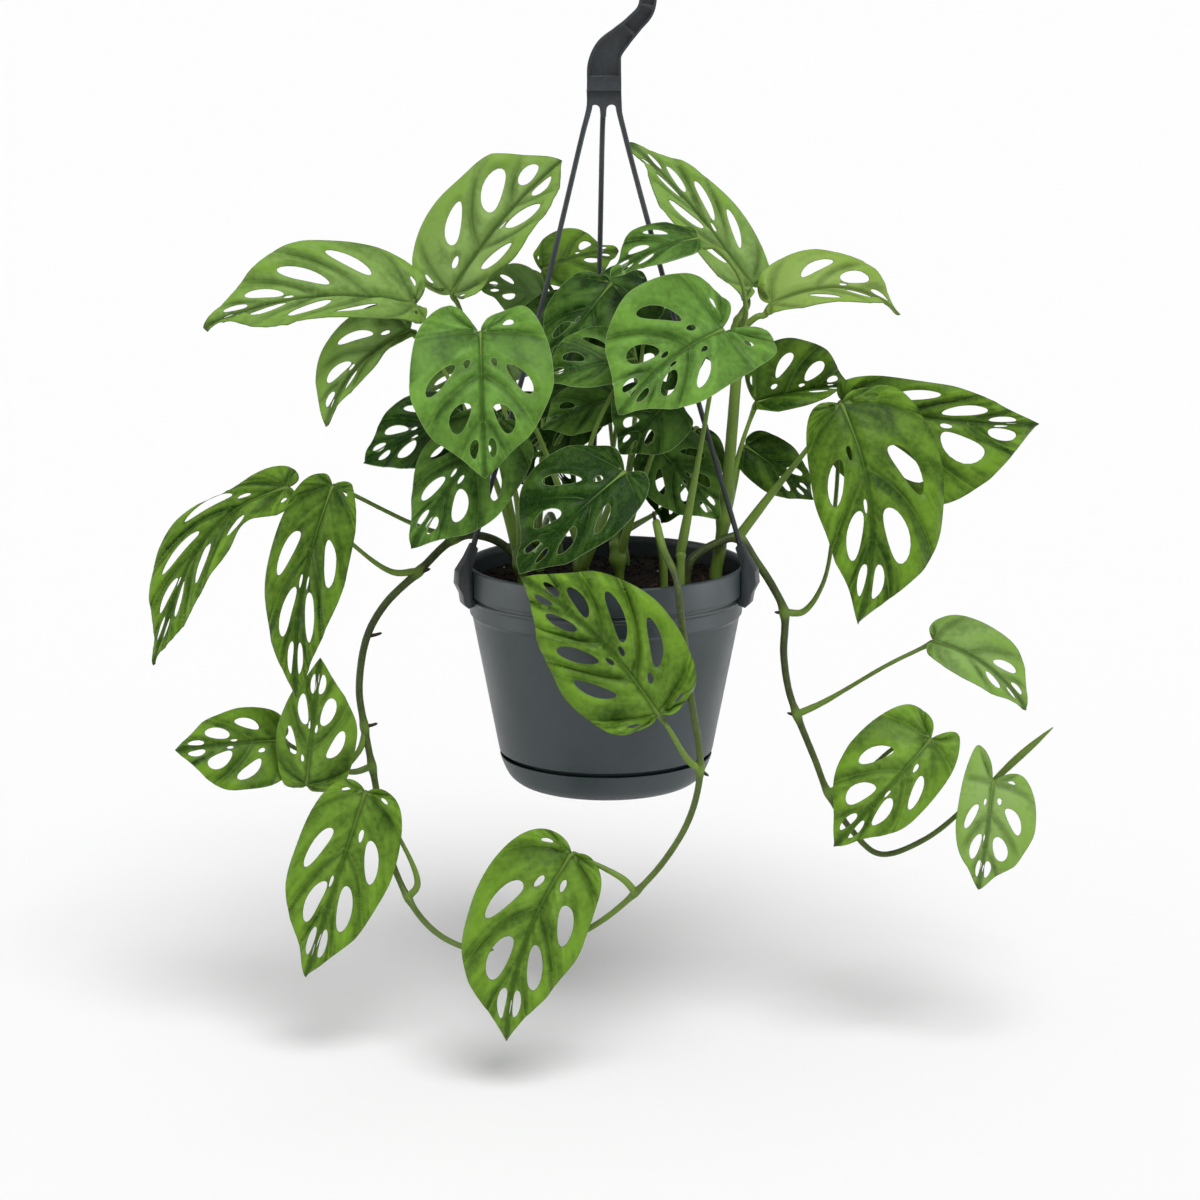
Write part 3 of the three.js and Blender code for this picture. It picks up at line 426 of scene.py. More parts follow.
sideVeins = {3: [0, 0.3, 0.62], 4: [0, 0.22, 0.46, 0.7]}  # where side veins leave the midrib, by panels
lobeVein = -0.5  # a vein inside the lobe behind the stalk
firstVeinEnd, veinSpread = 0.33, 0.62  # where the side veins reach the edge
veinBend = (0.55, 0.25)
swayScale = 6.75  # so that the greatest sway is the value that a leaf gives
edgeGap = 0.45 * fineStep  # points inside stay this far from an edge
pointGap = 0.62 * fineStep
ribColumns = (-1.9, -0.95, 0.95, 1.9)  # mm to the side of the midrib
ribReach, ribClear = 30, 2.4
veinSteps = 12
fullTurn = 6.28

# the crown's inner leaves get a cooler green, a painted shade, and pale thin edges, a painted highlight
innerLeaves = ["leaf_crown_%02d" % k for k in (4, 5, 6, 7, 10, 11, 12, 13, 14, 15, 18, 19, 22, 23, 24)]

# a leaf's holes, one for each panel from stalk to tip: from, to, span and centre, or 0 for none
none = (0, 0, 0)
single = (0, (0.3, 0.74, 0.4, 0.5), 0)
few = (0, (0.3, 0.78, 0.42, 0.5), (0.3, 0.74, 0.34, 0.28))
some = ((0.36, 0.8, 0.32, 0.5), (0.28, 0.8, 0.44, 0.5), (0.3, 0.76, 0.34, 0.28))
slim = ((0.34, 0.62, 0.3, 0.5), (0.3, 0.76, 0.44, 0.5), (0.26, 0.74, 0.44, 0.5), (0.3, 0.7, 0.34, 0.24))
wide = ((0.36, 0.78, 0.42, 0.5), (0.26, 0.8, 0.54, 0.5), (0.24, 0.78, 0.42, 0.3))
many = ((0.34, 0.78, 0.36, 0.5), (0.28, 0.8, 0.46, 0.5), (0.24, 0.78, 0.5, 0.5), (0.28, 0.76, 0.34, 0.24))

plainLeaf = dict(arch=6, bow=0, sway=0, fold=(0, 0), lobe=(0.06, 0.06), waist=(0, 0), blunt=0.4, quilt=1)

# where the blade meets its stalk, its tip, the way its upper face looks, the widths of its left and
# right half, its bends, and its stalk's way from the stem; a waist narrows a half behind its widest
# place, blunt rounds the tip, a sheath is the stalk's radius where it starts thick, and the tone runs
# from dark to light, partly the leaf's own green and partly painted shade on leaves in the shade of others
leafRows = [
    # the left vine
    dict(name="leaf_left_1", stem="vine_left", base=(-189, -15, 47), tip=(-269, -30, -57),
         face=(-0.35, -0.75, 0.55), wide=(26, 23), waist=(0.42, 0.35), arch=14, bow=3, sway=13,
         fold=(-12, -12), holes=(slim, many), stalk=((-113, 0, -6), (-128, -2, -6), (-160, -8, 20)),
         toneAndShade=0.39),
    dict(name="leaf_left_2", stem="vine_left", base=(-160, -36, 52), tip=(-183, -49, -73),
         face=(-0.3, -0.9, 0.25), wide=(25, 24), arch=8, bow=4, fold=(-8, -8), holes=(wide, wide),
         stalk=((-91, 9, 12), (-115, -6, 24)), toneAndShade=0.3),
    dict(name="leaf_left_3", stem="vine_left", base=(-179, -30, -130), tip=(-169, -35, -51),
         face=(0, -1, 0.1), wide=(21, 27), arch=5, lobe=(0.08, 0.1), fold=(8, 8), holes=(wide, wide),
         stalk=((-144, -15, -98), (-148, -17, -112), (-172, -20, -136)), toneAndShade=0.6),
    dict(name="leaf_left_4", stem="vine_left", base=(-194, -12, -107), tip=(-258, -25, -110),
         face=(-0.1, -0.9, 0.35), wide=(30, 21), arch=5, fold=(-5, -10), holes=(wide, wide),
         stalk=((-140, -17, -122), (-155, -8, -128), (-182, -2, -118)), toneAndShade=0.4),
    dict(name="leaf_left_5", stem="vine_left", base=(-143, -45, -131), tip=(-179, -60, -241),
         face=(0, -1, 0.2), wide=(31, 30), fold=(6, 6), holes=(wide, wide),
         stalk=((-119, -35, -199), (-113, -37, -190), (-124, -38, -160)), toneAndShade=0.55),
    # the front vine
    dict(name="leaf_front_1", stem="vine_front", base=(29, -112, -66), tip=(-49, -103, 12),
         face=(0, -1, 0.1), wide=(37, 39), bow=7, fold=(5, 5), holes=(many, many),
         stalk=((54, -104, -101), (47, -106, -95), (36, -110, -76)), quilt=1.7, toneAndShade=0.48),
    dict(name="leaf_front_2", stem="vine_front", base=(-20, -100, -153), tip=(-58, -112, -263),
         face=(0, -1, 0.15), wide=(32, 39), bow=9, fold=(6, 6), holes=(wide, wide),
         stalk=((17, -100, -176), (10, -100, -168)), quilt=1.25, toneAndShade=0.55),
    # the right vine
    dict(name="leaf_right_1", stem="vine_right", base=(141, 10, 95), tip=(260, 20, 80), face=(0, -1, 0.15),
         wide=(22, 52), arch=8, bow=4, fold=(-15, -8), holes=(wide, wide), sheath=3,
         stalk=((79, 3, 14), (95, 6, 35), (125, 14, 72)), toneAndShade=0.4),
    dict(name="leaf_right_2", stem="vine_right", base=(138, -20, 98), tip=(148, -45, -29),
         face=(0, -0.95, 0.25), wide=(47, 32), arch=10, bow=-12, fold=(6, 6), holes=(wide, wide),
         stalk=((107, 0, -31), (118, 0, -31), (130, -4, -12), (136, -13, 40)), toneAndShade=0.37),
    dict(name="leaf_right_3", stem="vine_right", base=(197, -5, -48), tip=(252, -16, -88),
         face=(0, -0.9, 0.4), wide=(22, 15), bow=-6, lobe=(0.08, 0.06), fold=(-6, -12),
         holes=(few, few), stalk=((115, -5, -93), (130, -5, -86), (170, -5, -62)), toneAndShade=0.9),
    dict(name="leaf_right_4", stem="vine_right", base=(193, -35, -101), tip=(135, -50, -163),
         face=(0, -1, 0.2), wide=(25, 34), lobe=(0.18, 0.16), fold=(6, 6), holes=(wide, wide),
         stalk=((134, -12, -140), (150, -14, -132), (175, -22, -108)), toneAndShade=0.58),
    dict(name="leaf_right_5", stem="vine_right", base=(230, -40, -126), tip=(221, -55, -188),
         face=(0, -1, 0.15), wide=(28, 19), arch=5, lobe=(0.12, 0.34), fold=(-5, -5), holes=(wide, wide),
         stalk=((222, -21, -141), (226, -28, -134)), toneAndShade=0.94),
    # the crown, from the left shoot to the right one
    dict(name="leaf_crown_01", stem="shoot_left", base=(-113, -5, 155), tip=(-235, -25, 144),
         face=(-0.1, -0.65, 0.75), wide=(33, 36), arch=12, bow=3, fold=(-22, -22), holes=(many, many),
         sheath=2.4, stalk=((-52, -13, 10), (-68, -6, 80), (-98, 0, 138)), toneAndShade=0.82),
    dict(name="leaf_crown_02", stem="shoot_left_back", base=(-92, 20, 158), tip=(-26, 35, 236),
         face=(-0.4, -0.85, 0.35), wide=(38, 30), lobe=(0.06, 0), waist=(0, 0.3), blunt=0.8, bow=-2,
         fold=(-25, -20), holes=(wide, wide), stalk=((-41, 15, 15), (-58, 22, 80), (-84, 28, 140)), quilt=1.3,
         toneAndShade=0.95),
    dict(name="leaf_crown_03", stem="shoot_left", base=(-115, -15, 141), tip=(-164, -30, 86),
         face=(-0.1, -0.85, 0.5), wide=(10, 24), waist=(0.5, 0), arch=5, bow=8, fold=(-20, -20),
         holes=(single, some), stalk=((-51, -14, 6), (-74, -6, 72), (-102, -6, 126)), toneAndShade=0.86),
    dict(name="leaf_crown_04", stem="shoot_middle", base=(-72, -62, 146), tip=(-69, -90, 66),
         face=(0, -0.95, 0.3), wide=(40, 42), lobe=(0.2, 0.2), fold=(-6, -6), holes=(some, some),
         sheath=2.8, stalk=((-15, -35, 15), (-38, -42, 80), (-62, -50, 132)), toneAndShade=0.64),
    dict(name="leaf_crown_05", stem="shoot_left", base=(-84, -24, 92), tip=(-142, -38, 66),
         face=(-0.1, -0.8, 0.6), wide=(26, 24), holes=(some, some), sheath=2.6,
         stalk=((-51, -15, 0), (-62, -12, 40), (-78, -13, 82)), toneAndShade=0.06),
    dict(name="leaf_crown_06", stem="shoot_left", base=(-62, -45, 93), tip=(-113, -68, 21),
         face=(-0.15, -0.9, 0.4), wide=(35, 26), fold=(5, 5), holes=(some, some), sheath=2.6,
         stalk=((-50, -15, 0), (-52, -32, 40), (-60, -38, 80)), toneAndShade=0.38),
    dict(name="leaf_crown_07", stem="shoot_middle", base=(10, -80, 68), tip=(-50, -97, 12),
         face=(-0.1, -0.85, 0.5), wide=(24, 38), lobe=(0.12, 0.1), fold=(6, 6), holes=(some, some),
         sheath=3, stalk=((-15, -35, 0), (-2, -52, 34), (8, -68, 62)), toneAndShade=0.03),
    dict(name="leaf_crown_08", stem="shoot_left_back", base=(-37, 55, 150), tip=(-77, 70, 157),
         face=(0.2, 0.8, 0.5), wide=(22, 22), arch=4, holes=(few, few),
         stalk=((-41, 16, 10), (-38, 40, 80), (-34, 48, 130)), toneAndShade=0.85),
    dict(name="leaf_crown_09", stem="shoot_left_back", base=(-38, 62, 168), tip=(8, 75, 178),
         face=(0, -0.6, 0.8), wide=(26, 22), arch=4, holes=(few, few),
         stalk=((-41, 16, 12), (-34, 42, 90), (-28, 54, 146)), toneAndShade=0.5),
    dict(name="leaf_crown_10", stem="shoot_centre", base=(3, -12, 168), tip=(-34, -30, 118),
         face=(-0.1, -0.8, 0.6), wide=(26, 24), arch=4, holes=(few, few),
         stalk=((6, -11, 15), (16, -12, 80), (17, -14, 125), (6, -13, 158)), toneAndShade=0.18),
    dict(name="leaf_crown_11", stem="shoot_centre", base=(25, 21, 165), tip=(-4, 18, 134),
         face=(-0.1, -0.8, 0.6), wide=(23, 24), arch=4, holes=(few, few),
         stalk=((6, -11, 12), (18, 6, 90), (25, 26, 155)), toneAndShade=0.12),
    dict(name="leaf_crown_12", stem="shoot_middle", base=(16, -42, 128), tip=(-38, -50, 116),
         face=(0, -0.8, 0.6), wide=(14, 26), arch=4, holes=(none, some), sheath=2.6,
         stalk=((-14, -35, 8), (-9, -40, 78), (11, -37, 119)), toneAndShade=0.3),
    dict(name="leaf_crown_13", stem="shoot_centre", base=(38, -40, 104), tip=(8, -54, 74),
         face=(-0.1, -0.9, 0.4), wide=(23, 26), arch=4, holes=(few, few), sheath=2.8,
         stalk=((7, -12, 4), (24, -26, 60), (36, -32, 94)), toneAndShade=0.16),
    dict(name="leaf_crown_14", stem="shoot_centre", base=(28, -8, 73), tip=(67, -18, 29),
         face=(0.1, -0.9, 0.4), wide=(24, 24), arch=4, holes=(some, some), sheath=3,
         stalk=((8, -12, 0), (16, -4, 40), (24, 0, 66)), toneAndShade=0.27),
    dict(name="leaf_crown_15", stem="shoot_middle", base=(6, -18, 102), tip=(-38, -24, 84),
         face=(0, -0.7, 0.7), wide=(18, 20), arch=3, holes=(none, few), sheath=2.4,
         stalk=((-14, -35, 4), (0, -22, 50), (7, -12, 92)), toneAndShade=0.42),
    dict(name="leaf_crown_16", stem="shoot_right", base=(86, 22, 163), tip=(14, 35, 247),
         face=(0.3, -0.8, 0.5), wide=(28, 22), fold=(-30, -15), holes=(many, many),
         stalk=((80, 14, 146), (84, 20, 152)), toneAndShade=0.9),
    dict(name="leaf_crown_17", stem="shoot_right", base=(98, 12, 153), tip=(177, 35, 144),
         face=(0.05, -0.4, 0.9), wide=(27, 15), arch=15, fold=(-32, 0), holes=(wide, some),
         stalk=((80, 12, 138), (90, 11, 146)), toneAndShade=1.02),
    dict(name="leaf_crown_18", stem="shoot_right_front", base=(67, -50, 146), tip=(7, -85, 102),
         face=(0, -0.95, 0.3), wide=(32, 44), lobe=(0.36, 0.16), bow=5, fold=(-4, -4),
         holes=(some, some), sheath=3, stalk=((44, -30, 12), (56, -36, 80), (64, -40, 130)), quilt=1.5,
         toneAndShade=0.66),
    dict(name="leaf_crown_19", stem="shoot_right", base=(53, -25, 196), tip=(2, -40, 175),
         face=(-0.1, -0.5, 0.85), wide=(14, 24), arch=5, holes=(few, some),
         stalk=((80, 10, 138), (82, -6, 152), (78, -13, 172), (63, -19, 190)), toneAndShade=0.36),
    dict(name="leaf_crown_20", stem="shoot_right", base=(90, 15, 94), tip=(147, 30, 102),
         face=(0, -0.85, 0.55), wide=(33, 15), arch=5, fold=(-35, -35), holes=(some, few),
         stalk=((73, 7, 40), (82, 12, 72)), toneAndShade=0.25),
    dict(name="leaf_crown_21", stem="shoot_right", base=(84, 24, 66), tip=(126, 30, 32),
         face=(0.1, -0.9, 0.4), wide=(17, 16), arch=4, holes=(few, few),
         stalk=((72, 8, 24), (78, 18, 46)), toneAndShade=0.1),
    # inside the crown, behind the front leaves; their low tone is painted shade
    dict(name="leaf_crown_22", stem="shoot_left_back", base=(-9, 0, 102), tip=(-47, -9, 64),
         face=(-0.1, -0.85, 0.5), wide=(22, 22), arch=4, holes=(few, few),
         stalk=((-41, 16, 8), (-36, 7, 56), (-16, 5.5, 91)), toneAndShade=0.08),
    dict(name="leaf_crown_23", stem="shoot_centre", base=(48, 24, 141), tip=(19, 14, 97),
         face=(0, -0.9, 0.45), wide=(23, 25), arch=4, holes=(few, few),
         stalk=((7, -10, 6), (26, 12, 60), (44, 30, 130)), toneAndShade=0.07),
    dict(name="leaf_crown_24", stem="shoot_left_back", base=(-18, 44, 150), tip=(-52, 36, 110),
         face=(-0.1, -0.85, 0.5), wide=(22, 22), arch=4, holes=(few, few),
         stalk=((-41, 16, 9), (-36, 38, 70), (-22, 50, 140)), toneAndShade=0.1),
    # the back, and the short vine over the back rim
    dict(name="leaf_back_1", stem="shoot_back", base=(-55, 60, 112), tip=(-115, 110, 74),
         face=(-0.3, 0.6, 0.7), wide=(30, 30), arch=8, holes=(few, few),
         stalk=((9, 42, 16), (-14, 50, 60), (-42, 54, 104)), toneAndShade=0.5),
    dict(name="leaf_back_2", stem="shoot_back", base=(42, 70, 122), tip=(86, 136, 92),
         face=(0.2, 0.5, 0.8), wide=(32, 32), arch=9, holes=(some, some),
         stalk=((10, 42, 18), (20, 54, 70), (36, 62, 114)), toneAndShade=0.45),
    dict(name="leaf_back_3", stem="shoot_back", base=(-4, 78, 136), tip=(-22, 152, 104),
         face=(-0.05, 0.5, 0.85), wide=(32, 32), arch=9, holes=(few, few),
         stalk=((9, 43, 20), (2, 58, 80), (-2, 70, 126)), toneAndShade=0.6),
    # the next two sit in the crown's shade, and their low tone is painted shade
    dict(name="leaf_back_4", stem="shoot_back", base=(54, 50, 72), tip=(34, 58, 12),
         face=(0, -0.9, 0.4), wide=(25, 27), holes=(few, few),
         stalk=((11, 42, 10), (40, 70, 24), (64, 70, 60)), toneAndShade=0.04),
    dict(name="leaf_back_5", stem="shoot_back", base=(-60, 56, 84), tip=(-20, 66, 30),
         face=(0, -0.9, 0.4), wide=(26, 26), holes=(few, few),
         stalk=((8, 42, 10), (-40, 72, 30), (-70, 72, 72)), toneAndShade=0.05),
    dict(name="leaf_back_6", stem="vine_back", base=(-26, 108, -6), tip=(-46, 122, -84),
         face=(-0.1, 1, 0.25), wide=(28, 28), arch=7, holes=(some, some),
         stalk=((-38, 94, -12), (-38, 98, -11), (-30, 101, -3)), toneAndShade=0.5),
    dict(name="leaf_back_7", stem="vine_back", base=(-18, 108, -46), tip=(2, 122, -122),
         face=(0.1, 1, 0.25), wide=(28, 26), arch=7, holes=(some, some),
         stalk=((-38, 100, -58), (-32, 102, -56), (-22, 102, -44)), toneAndShade=0.45),
]
leafRows = [{**plainLeaf, **row} for row in leafRows]


def unit(vector):
    return vector / np.linalg.norm(vector)


def bladeSurface(leaf):
    # lays flat points, mm across and a share of the length along, on the bent blade
    base = np.array(leaf["base"], float)
    along = np.array(leaf["tip"], float) - base
    length = np.linalg.norm(along)
    along /= length
    face = np.array(leaf["face"], float)
    face = unit(face - along * face.dot(along))
    right = np.cross(along, face)
    lift = face * leaf["arch"] + right * leaf["bow"]
    sway = right * leaf["sway"] * swayScale
    fold = np.radians(leaf["fold"])

    def place(across, share):
        across = np.atleast_1d(across).astype(float)
        share = np.atleast_1d(share).astype(float)
        run = along * length + lift * (4 * (1 - 2 * share))[:, None]
        run += sway * ((1 - share) * (1 - 3 * share))[:, None]
        run /= np.linalg.norm(run, axis=1)[:, None]
        side = right - run * (run @ right)[:, None]
        side /= np.linalg.norm(side, axis=1)[:, None]
        up = np.cross(side, run)
        angle = np.where(across < 0, fold[0], fold[1])
        return (base + along * (length * share)[:, None] + lift * (4 * share * (1 - share))[:, None]
                + sway * (share * (1 - share) ** 2)[:, None]
                + side * (across * np.cos(angle))[:, None] - up * (np.abs(across) * np.sin(angle))[:, None])

    return place, length, face


def cubic(a, b, c, d, t):
    u = 1 - t
    return u * u * u * a + 3 * u * u * t * b + 3 * u * t * t * c + t * t * t * d


def halfBlade(leaf, half, dice):
    # the edge and the side veins of one half, as functions
    wide, lobe, waist, blunt = leaf["wide"][half], leaf["lobe"][half], leaf["waist"][half], leaf["blunt"]
    phase, second = dice.uniform(0, fullTurn), dice.uniform(0, fullTurn)
    widestAt, turn, pinchFrom = (bladeOutline[key] for key in ("widestAt", "widestTurn", "tipPinchFrom"))
    inner, outer = bladeOutline["lobeDepth"]
    slow, fast = bladeOutline["swell"]

    def edge(q):
        if q < turn:
            t = q / turn
            x = cubic(0, 0.2 * wide, wide, wide, t)
            y = cubic(0, -inner * lobe, -outer * lobe, widestAt, t)
        else:
            t = (q - turn) / (1 - turn)
            x = cubic(wide, wide, blunt * wide, 0, t)
            y = cubic(widestAt, *bladeOutline["shoulder"], 1, t)
            pinch = math.sin(math.pi * max(0, (t - pinchFrom) / (1 - pinchFrom)))
            x *= 1 - bladeOutline["tipPinch"] * pinch
        x *= 1 - waist * math.exp(-((y - bladeOutline["waistAt"]) / bladeOutline["waistReach"]) ** 2)
        swell = math.sin(slow * q + phase) + 0.6 * math.sin(fast * q + second)
        return x * (1 + bladeSizes["ripple"] * swell * math.sin(math.pi * q) ** 0.5), y

    def vein(v, f):
        start = max(v, 0)
        endX, endY = edge(min(edgeOf(v), 1))
        bendX, bendY = veinBend[0] * endX, start + veinBend[1] * (endY - start)
        u = 1 - f
        return 2 * u * f * bendX + f * f * endX, u * u * start + 2 * u * f * bendY + f * f * endY

    return edge, vein


def veinOf(q):
    if q < firstVeinEnd:
        return q / firstVeinEnd - 1
    return ((q - firstVeinEnd) / (1 - firstVeinEnd)) ** (1 / veinSpread)


def edgeOf(v):
    return firstVeinEnd * (1 + v) if v < 0 else firstVeinEnd + (1 - firstVeinEnd) * v ** veinSpread


def toSegments(points, starts, ends):
    # each point's distance to the nearest of many straight pieces
    run = ends - starts
    size = np.maximum((run ** 2).sum(1), 1e-9)
    gap = points[:, None, :] - starts[None]
    share = np.clip((gap * run[None]).sum(2) / size, 0, 1)
    return np.sqrt(((gap - share[..., None] * run[None]) ** 2).sum(2).min(1))


def insideLoop(points, loop):
    inside = np.zeros(len(points), bool)
    ahead = np.roll(loop, -1, axis=0)
    for (ax, ay), (bx, by) in zip(loop, ahead):
        if ay == by:
            continue
        crosses = (ay > points[:, 1]) != (by > points[:, 1])
        inside ^= crosses & (points[:, 0] < (bx - ax) * (points[:, 1] - ay) / (by - ay) + ax)
    return inside


def holeLoop(vein, length, veinA, veinB, reach, span, dice, centre=0.5):
    # an egg-shaped hole between two side veins
    wobble, third = dice.uniform(0, fullTurn), dice.uniform(0, fullTurn)
    middle, half = (reach[0] + reach[1]) / 2, (reach[1] - reach[0]) / 2
    slide = dice.uniform(-holeShape["slide"], holeShape["slide"])
    count, (double, triple) = holeShape["points"], holeShape["wobble"]
    loop = []
    for i in range(count):
        a = 2 * math.pi * i / count
        size = 1 + double * math.sin(2 * a + wobble) + triple * math.sin(3 * a + third)
        f = middle + slide + half * size * math.cos(a)
        g = centre + span / 2 * size * math.sin(a) * (1 + holeShape["egg"] * math.cos(a))
        v = veinA + (veinB - veinA) * g
        x, y = vein(v, f)
        loop.append((x, y * length, f, v))
    around = sum(math.dist(loop[i][:2], loop[i - 1][:2]) for i in range(count))
    keep = max(1, round(count * fineStep * 0.8 / max(around, 1)))  # small holes need fewer points
    return loop[::min(keep, 3)]


def bladeSheet(leaf):
    # a flat net of triangles with the holes left out, and what the surface needs to know of each point
    dice = random.Random(leaf["name"])
    place, length, _ = bladeSurface(leaf)
    starts = sideVeins[len(leaf["holes"][0])]
    mains = [-1, lobeVein, *starts, 1]
    points, known, links, holes = [], [], [], []  # known: half's sign, reach, vein
    grid = {}

    def add(x, y, sign, f, v, always=False):
        key = (math.floor(x / pointGap), math.floor(y / pointGap))
        if not always:
            for i in (-1, 0, 1):
                for j in (-1, 0, 1):
                    for k in grid.get((key[0] + i, key[1] + j), ()):
                        if math.hypot(points[k][0] - x, points[k][1] - y) < pointGap:
                            return None
        grid.setdefault(key, []).append(len(points))
        points.append((x, y))
        known.append((sign, f, v))
        return len(points) - 1

    ribCount = max(8, round(length / fineStep))
    rib = [add(0, length * i / ribCount, 0, 0, i / ribCount, True) for i in range(ribCount + 1)]
    links += list(zip(rib[:-1], rib[1:]))
    outline, halves, segments = [], [], []
    for half, sign in ((0, -1), (1, 1)):
        edge, vein = halfBlade(leaf, half, dice)
        rows, chain = [], [rib[0]]
        for a, b in zip(mains[:-1], mains[1:]):
            qa, qb = edgeOf(a), edgeOf(b)
            first, middle, last = ((x, y * length) for x, y in map(edge, (qa, (qa + qb) / 2, qb)))
            count = max(3, round((math.dist(first, middle) + math.dist(middle, last)) / fineStep))
            rows += [qa + (qb - qa) * i / count for i in range(count)]
        for q in rows[1:]:
            x, y = edge(q)
            chain.append(add(sign * x, y * length, sign, 1, veinOf(q), True))
        chain.append(rib[-1])
        links += list(zip(chain[:-1], chain[1:]))
        outline.append(chain)
        halves.append((sign, vein, rows))
        lines = [[vein(v, i / veinSteps) for i in range(veinSteps + 1)] for v in mains[1:-1]]
        lines = [np.array([(sign * x, y * length) for x, y in line]) for line in lines]
        segments.append((np.concatenate([line[:-1] for line in lines]),
                         np.concatenate([line[1:] for line in lines])))

        def cut(loop):
            flat = np.array([(sign * x, y) for x, y, f, v in loop])
            ring = [add(sign * x, y, sign, f, v, True) for x, y, f, v in loop]
            links.extend(zip(ring, ring[1:] + ring[:1]))
            holes.append(flat)

        for k, hole in enumerate(leaf["holes"][half]):
            if not hole:
                continue
            after = starts[k + 1] if k + 1 < len(starts) else 1
            cut(holeLoop(vein, length, starts[k], after, hole[:2], hole[2], dice, hole[3]))
            wanted = hole[0] > smallHole["leastStart"] and dice.random() < smallHole["chance"]
            if wanted and leaf["wide"][half] > smallHole["leastWidth"]:
                centre = dice.uniform(*smallHole["centre"])
                reach = (hole[0] * smallHole["from"], hole[0] * smallHole["from"] + smallHole["long"])
                cut(holeLoop(vein, length, starts[k], after, reach, smallHole["span"], dice, centre))
        if leaf["wide"][half] > lobeHole["leastWidth"] and dice.random() < lobeHole["chance"]:
            cut(holeLoop(vein, length, lobeVein, 0, lobeHole["reach"], lobeHole["span"], dice))
    # columns beside the midrib, then points along the side veins and between them
    for i in range(1, ribCount - 2):
        for x in ribColumns:
            share = (i + 0.5 * (abs(x) < 1)) / ribCount
            if abs(x) < 0.5 * min(leaf["wide"]) * (1 - share):
                add(x, share * length, math.copysign(1, x), abs(x) / ribReach, share)
    for sign, vein, rows in halves:
        order = sorted(rows, key=lambda q: min(abs(veinOf(q) - m) for m in mains) > 1e-6)
        for q in order:
            v = veinOf(q)
            x, y = vein(v, 1)
            x0, y0 = vein(v, 0)
            count = max(2, round(math.dist((x, y * length), (x0, y0 * length)) / fineStep))
            for i in range(1, count):
                x, y = vein(v, i / count)
                if abs(x) > ribClear or y < 0:
                    add(sign * x, y * length, sign, i / count, v)
    return points, known, links, outline, holes, segments, mains, place, length, dice


